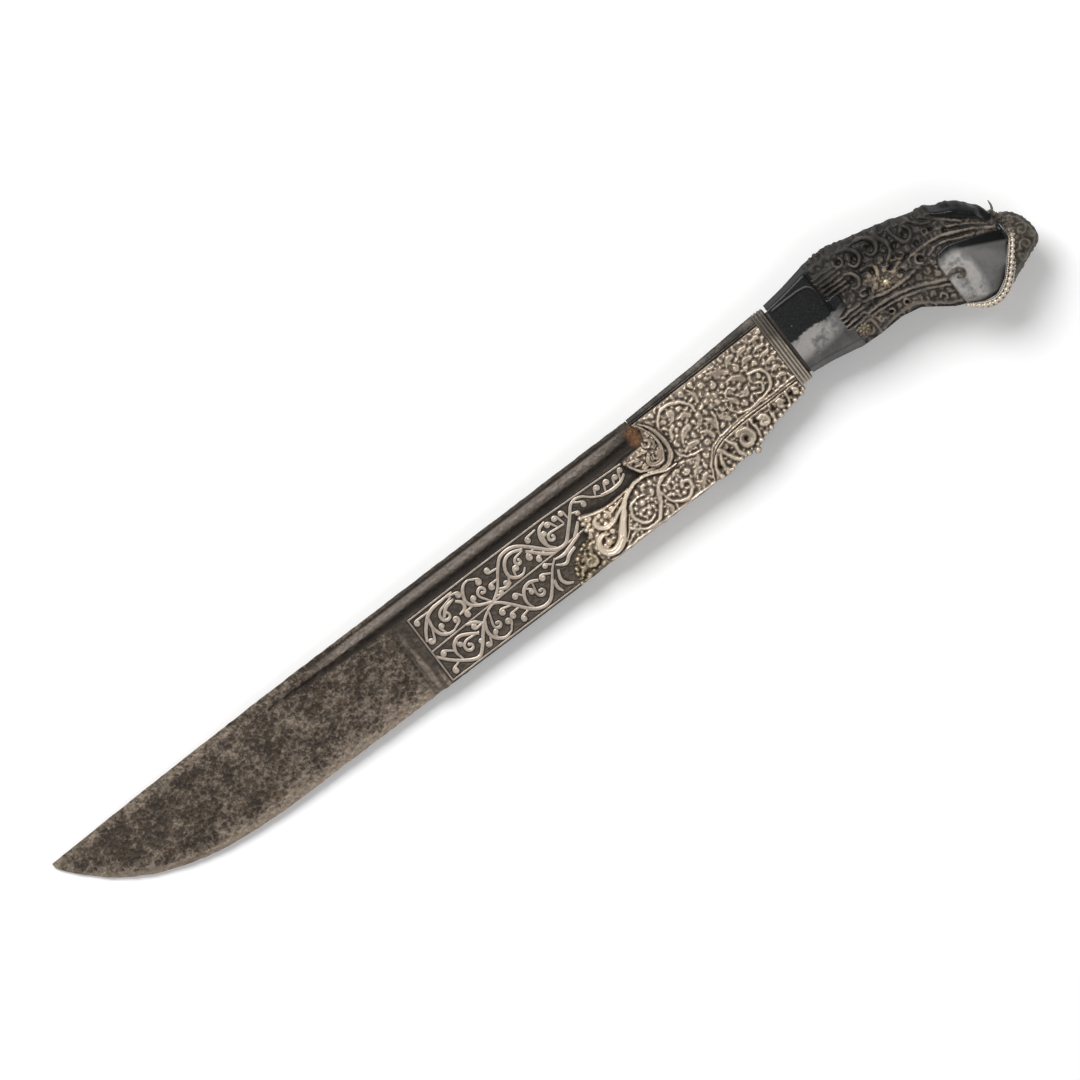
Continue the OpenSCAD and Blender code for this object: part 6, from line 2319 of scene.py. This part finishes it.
    def chased_cap(self, finish: Material, resin: Material) -> None:
        """Makes the domed cap with its chased scrolls, and the resin that fills it.

        Args:
            finish: the cap's silver.
            resin: what fills it.
        """
        outer = resample(smooth(self.cap), self.columns)
        line = self.line()
        inner = beside(line, self.reach(len(line)) - 0.15)
        a = np.argmin(np.linalg.norm(inner - outer[0], axis=1))
        b = np.argmin(np.linalg.norm(inner - outer[-1], axis=1))
        inner = resample(inner[min(a, b):max(a, b) + 1], self.columns)
        r = Relief((308, 329), (-38, -14), 0.15, 0.25)
        r.stroke(smooth(self.rim_line), (0.3, 0.4, 0.3), 0.5)
        for centre, radius, start in self.scrolls:
            r.stroke(spiral(centre, radius, 0.3, start, -1.3), (0.35, 0.5, 0.45), 0.6)
        r.fill(r.x > 0, 5, 0.35, 1.0, 0.5, gap=0.03)
        r.wear(0.16)
        cap = self.dome(outer, inner, r)
        cap.make("chased_cap", finish, "cap_silver", "pommel_cap", sharp=60)
        middle = outer.mean(0) * 0.5 + inner.mean(0) * 0.5
        fill = self.dome(outer + (middle - outer) * 0.14, inner + (middle - inner) * 0.03, None)
        fill.make("resin_fill", resin, "lac_resin", "pommel_fill", sharp=60)

    def pin(self, finish: Material) -> None:
        """Makes the bent pin at the top of the bezel.

        Args:
            finish: the pin's silver.
        """
        path = smooth(self.bent)
        a = np.linspace(0, 2 * math.pi, 12, endpoint=False)
        rings = []
        for k, (x, y, _) in enumerate(path):
            q = 0.48 * (1 - 0.75 * (k / (len(path) - 1)) ** 1.5)
            rings.append(np.stack((x + q * np.cos(a), np.full(12, y), q * np.sin(a)), 1))
        shell = loft(np.array(rings), np.full((len(rings), 12), 0.35))
        shell.make("bent_pin", finish, "bezel_silver", "pommel_pin", sharp=60)

    def build(self, silver: Material, dark: Material, resin: Material) -> None:
        """Makes the pommel.

        Args:
            silver: finish of bezel and pin.
            dark: finish of the cap.
            resin: what fills the cap.
        """
        self.bezel(silver)
        self.chased_cap(dark, resin)
        self.pin(silver)


@dataclass
class Studio:
    """The pale floor, the soft lights and the camera at the photograph's angle."""

    aim: tuple = (0.00045, 0.00345)
    width: float = 0.3024
    lens: float = 600.0
    sensor: float = 36.0
    focus: float = 0.006
    turn: float = -37.25
    floor_size: float = 6.0
    floor_tone: float = 0.93
    floor_glow: float = 0.12
    sky: float = 0.58
    sky_drop: float = 0.34
    lights: tuple = (("key", (0.0, 0.98, 1.15), (1.0, 0.8), 21.3),
                     ("fill", (0.1, -0.7, 1.2), (1.0, 0.6), 3.0))

    def floor(self) -> None:
        """A plain pale floor that keeps the shadow."""
        h = self.floor_size
        mesh = bpy.data.meshes.new("floor")
        mesh.from_pydata([(-h, -h, 0), (h, -h, 0), (h, h, 0), (-h, h, 0)], [], [(0, 1, 2, 3)])
        s = Shade("pale_floor")
        path = s.tree.nodes.new("ShaderNodeLightPath")
        seen = Socket(s, path.outputs["Is Camera Ray"]).most(Socket(s, path.outputs["Is Glossy Ray"]))
        seen = seen.most(Socket(s, path.outputs["Is Transmission Ray"]))
        lit = s.node("ShaderNodeBsdfDiffuse", {"Color": (*(self.floor_tone,) * 3, 1)})
        glow = s.node("ShaderNodeEmission", {"Color": (1, 1, 1, 1), "Strength": seen * self.floor_glow})
        both = s.node("ShaderNodeAddShader", {0: lit, 1: glow})
        s.node("ShaderNodeOutputMaterial", {"Surface": both})
        mesh.materials.append(s.material)
        floor = placed("floor", mesh)

    def light(self, name: str, place: Colour, size: tuple[float, float], power: float) -> None:
        """An area light that faces the knife.

        Args:
            name: its name.
            place: where it hangs, in metres.
            size: its width and depth, in metres.
            power: its power in watts.
        """
        data = bpy.data.lights.new(name, "AREA")
        data.shape, data.size, data.size_y, data.energy = "RECTANGLE", size[0], size[1], power
        lamp = placed(name, data)
        lamp.location = place
        x, y, z = place
        flat = math.hypot(x, y)
        lamp.rotation_euler = (math.atan2(flat, z), 0.0, math.atan2(x, -y) if flat else 0.0)

    def world(self) -> None:
        """Dim soft light from all round, brighter at the horizon than overhead."""
        world = bpy.data.worlds.new("studio")
        bpy.context.scene.world = world
        world.use_nodes = True
        n = Nodes(world.node_tree)
        way = n.node("ShaderNodeTexCoord", out="Generated")
        up = n.node("ShaderNodeSeparateXYZ", {0: way}, "Z")
        strength = self.sky - up.between(0.0, 0.8) * self.sky_drop
        back = n.node("ShaderNodeBackground", {"Color": (1, 1, 1, 1), "Strength": strength})
        n.node("ShaderNodeOutputWorld", {"Surface": back})

    def camera(self) -> None:
        """The camera, straight over the knife, turned as the photograph is."""
        data = bpy.data.cameras.new("camera")
        data.sensor_width, data.lens = self.sensor, self.lens
        camera = placed("camera", data)
        camera.location = (*self.aim, self.width * self.lens / self.sensor + self.focus)
        camera.rotation_euler = (0.0, 0.0, math.radians(self.turn))
        data.clip_start, data.clip_end = 0.01, 50.0
        bpy.context.scene.camera = camera

    def build(self) -> None:
        """Sets the studio up."""
        bpy.context.scene.view_settings.view_transform = "Standard"
        self.camera()
        self.floor()
        self.world()
        for lamp in self.lights:
            self.light(*lamp)


def main() -> None:
    """Builds the knife's pieces from the tip to the pommel, and then the studio."""
    logging.basicConfig(level=logging.INFO, format="%(name)s: %(message)s")
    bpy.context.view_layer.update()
    finish = {slot: kind.material() for slot, kind in FINISHES.items()}
    Blade().build(finish["blade_steel"])
    Inlay().build(finish["inlay_silver"])
    Plates().build(finish["chased_silver"], finish["golden_brass"])
    Fringe().build(finish["pale_brass"])
    Bolster().build(finish["plain_silver"], finish["washer_leather"])
    Grip().build(finish["horn"], finish["strip_brass"])
    Rivets().build(finish["golden_brass"])
    Pommel().build(finish["bezel_silver"], finish["cap_silver"], finish["lac_resin"])
    Studio().build()


if __name__ == "__main__":
    main()
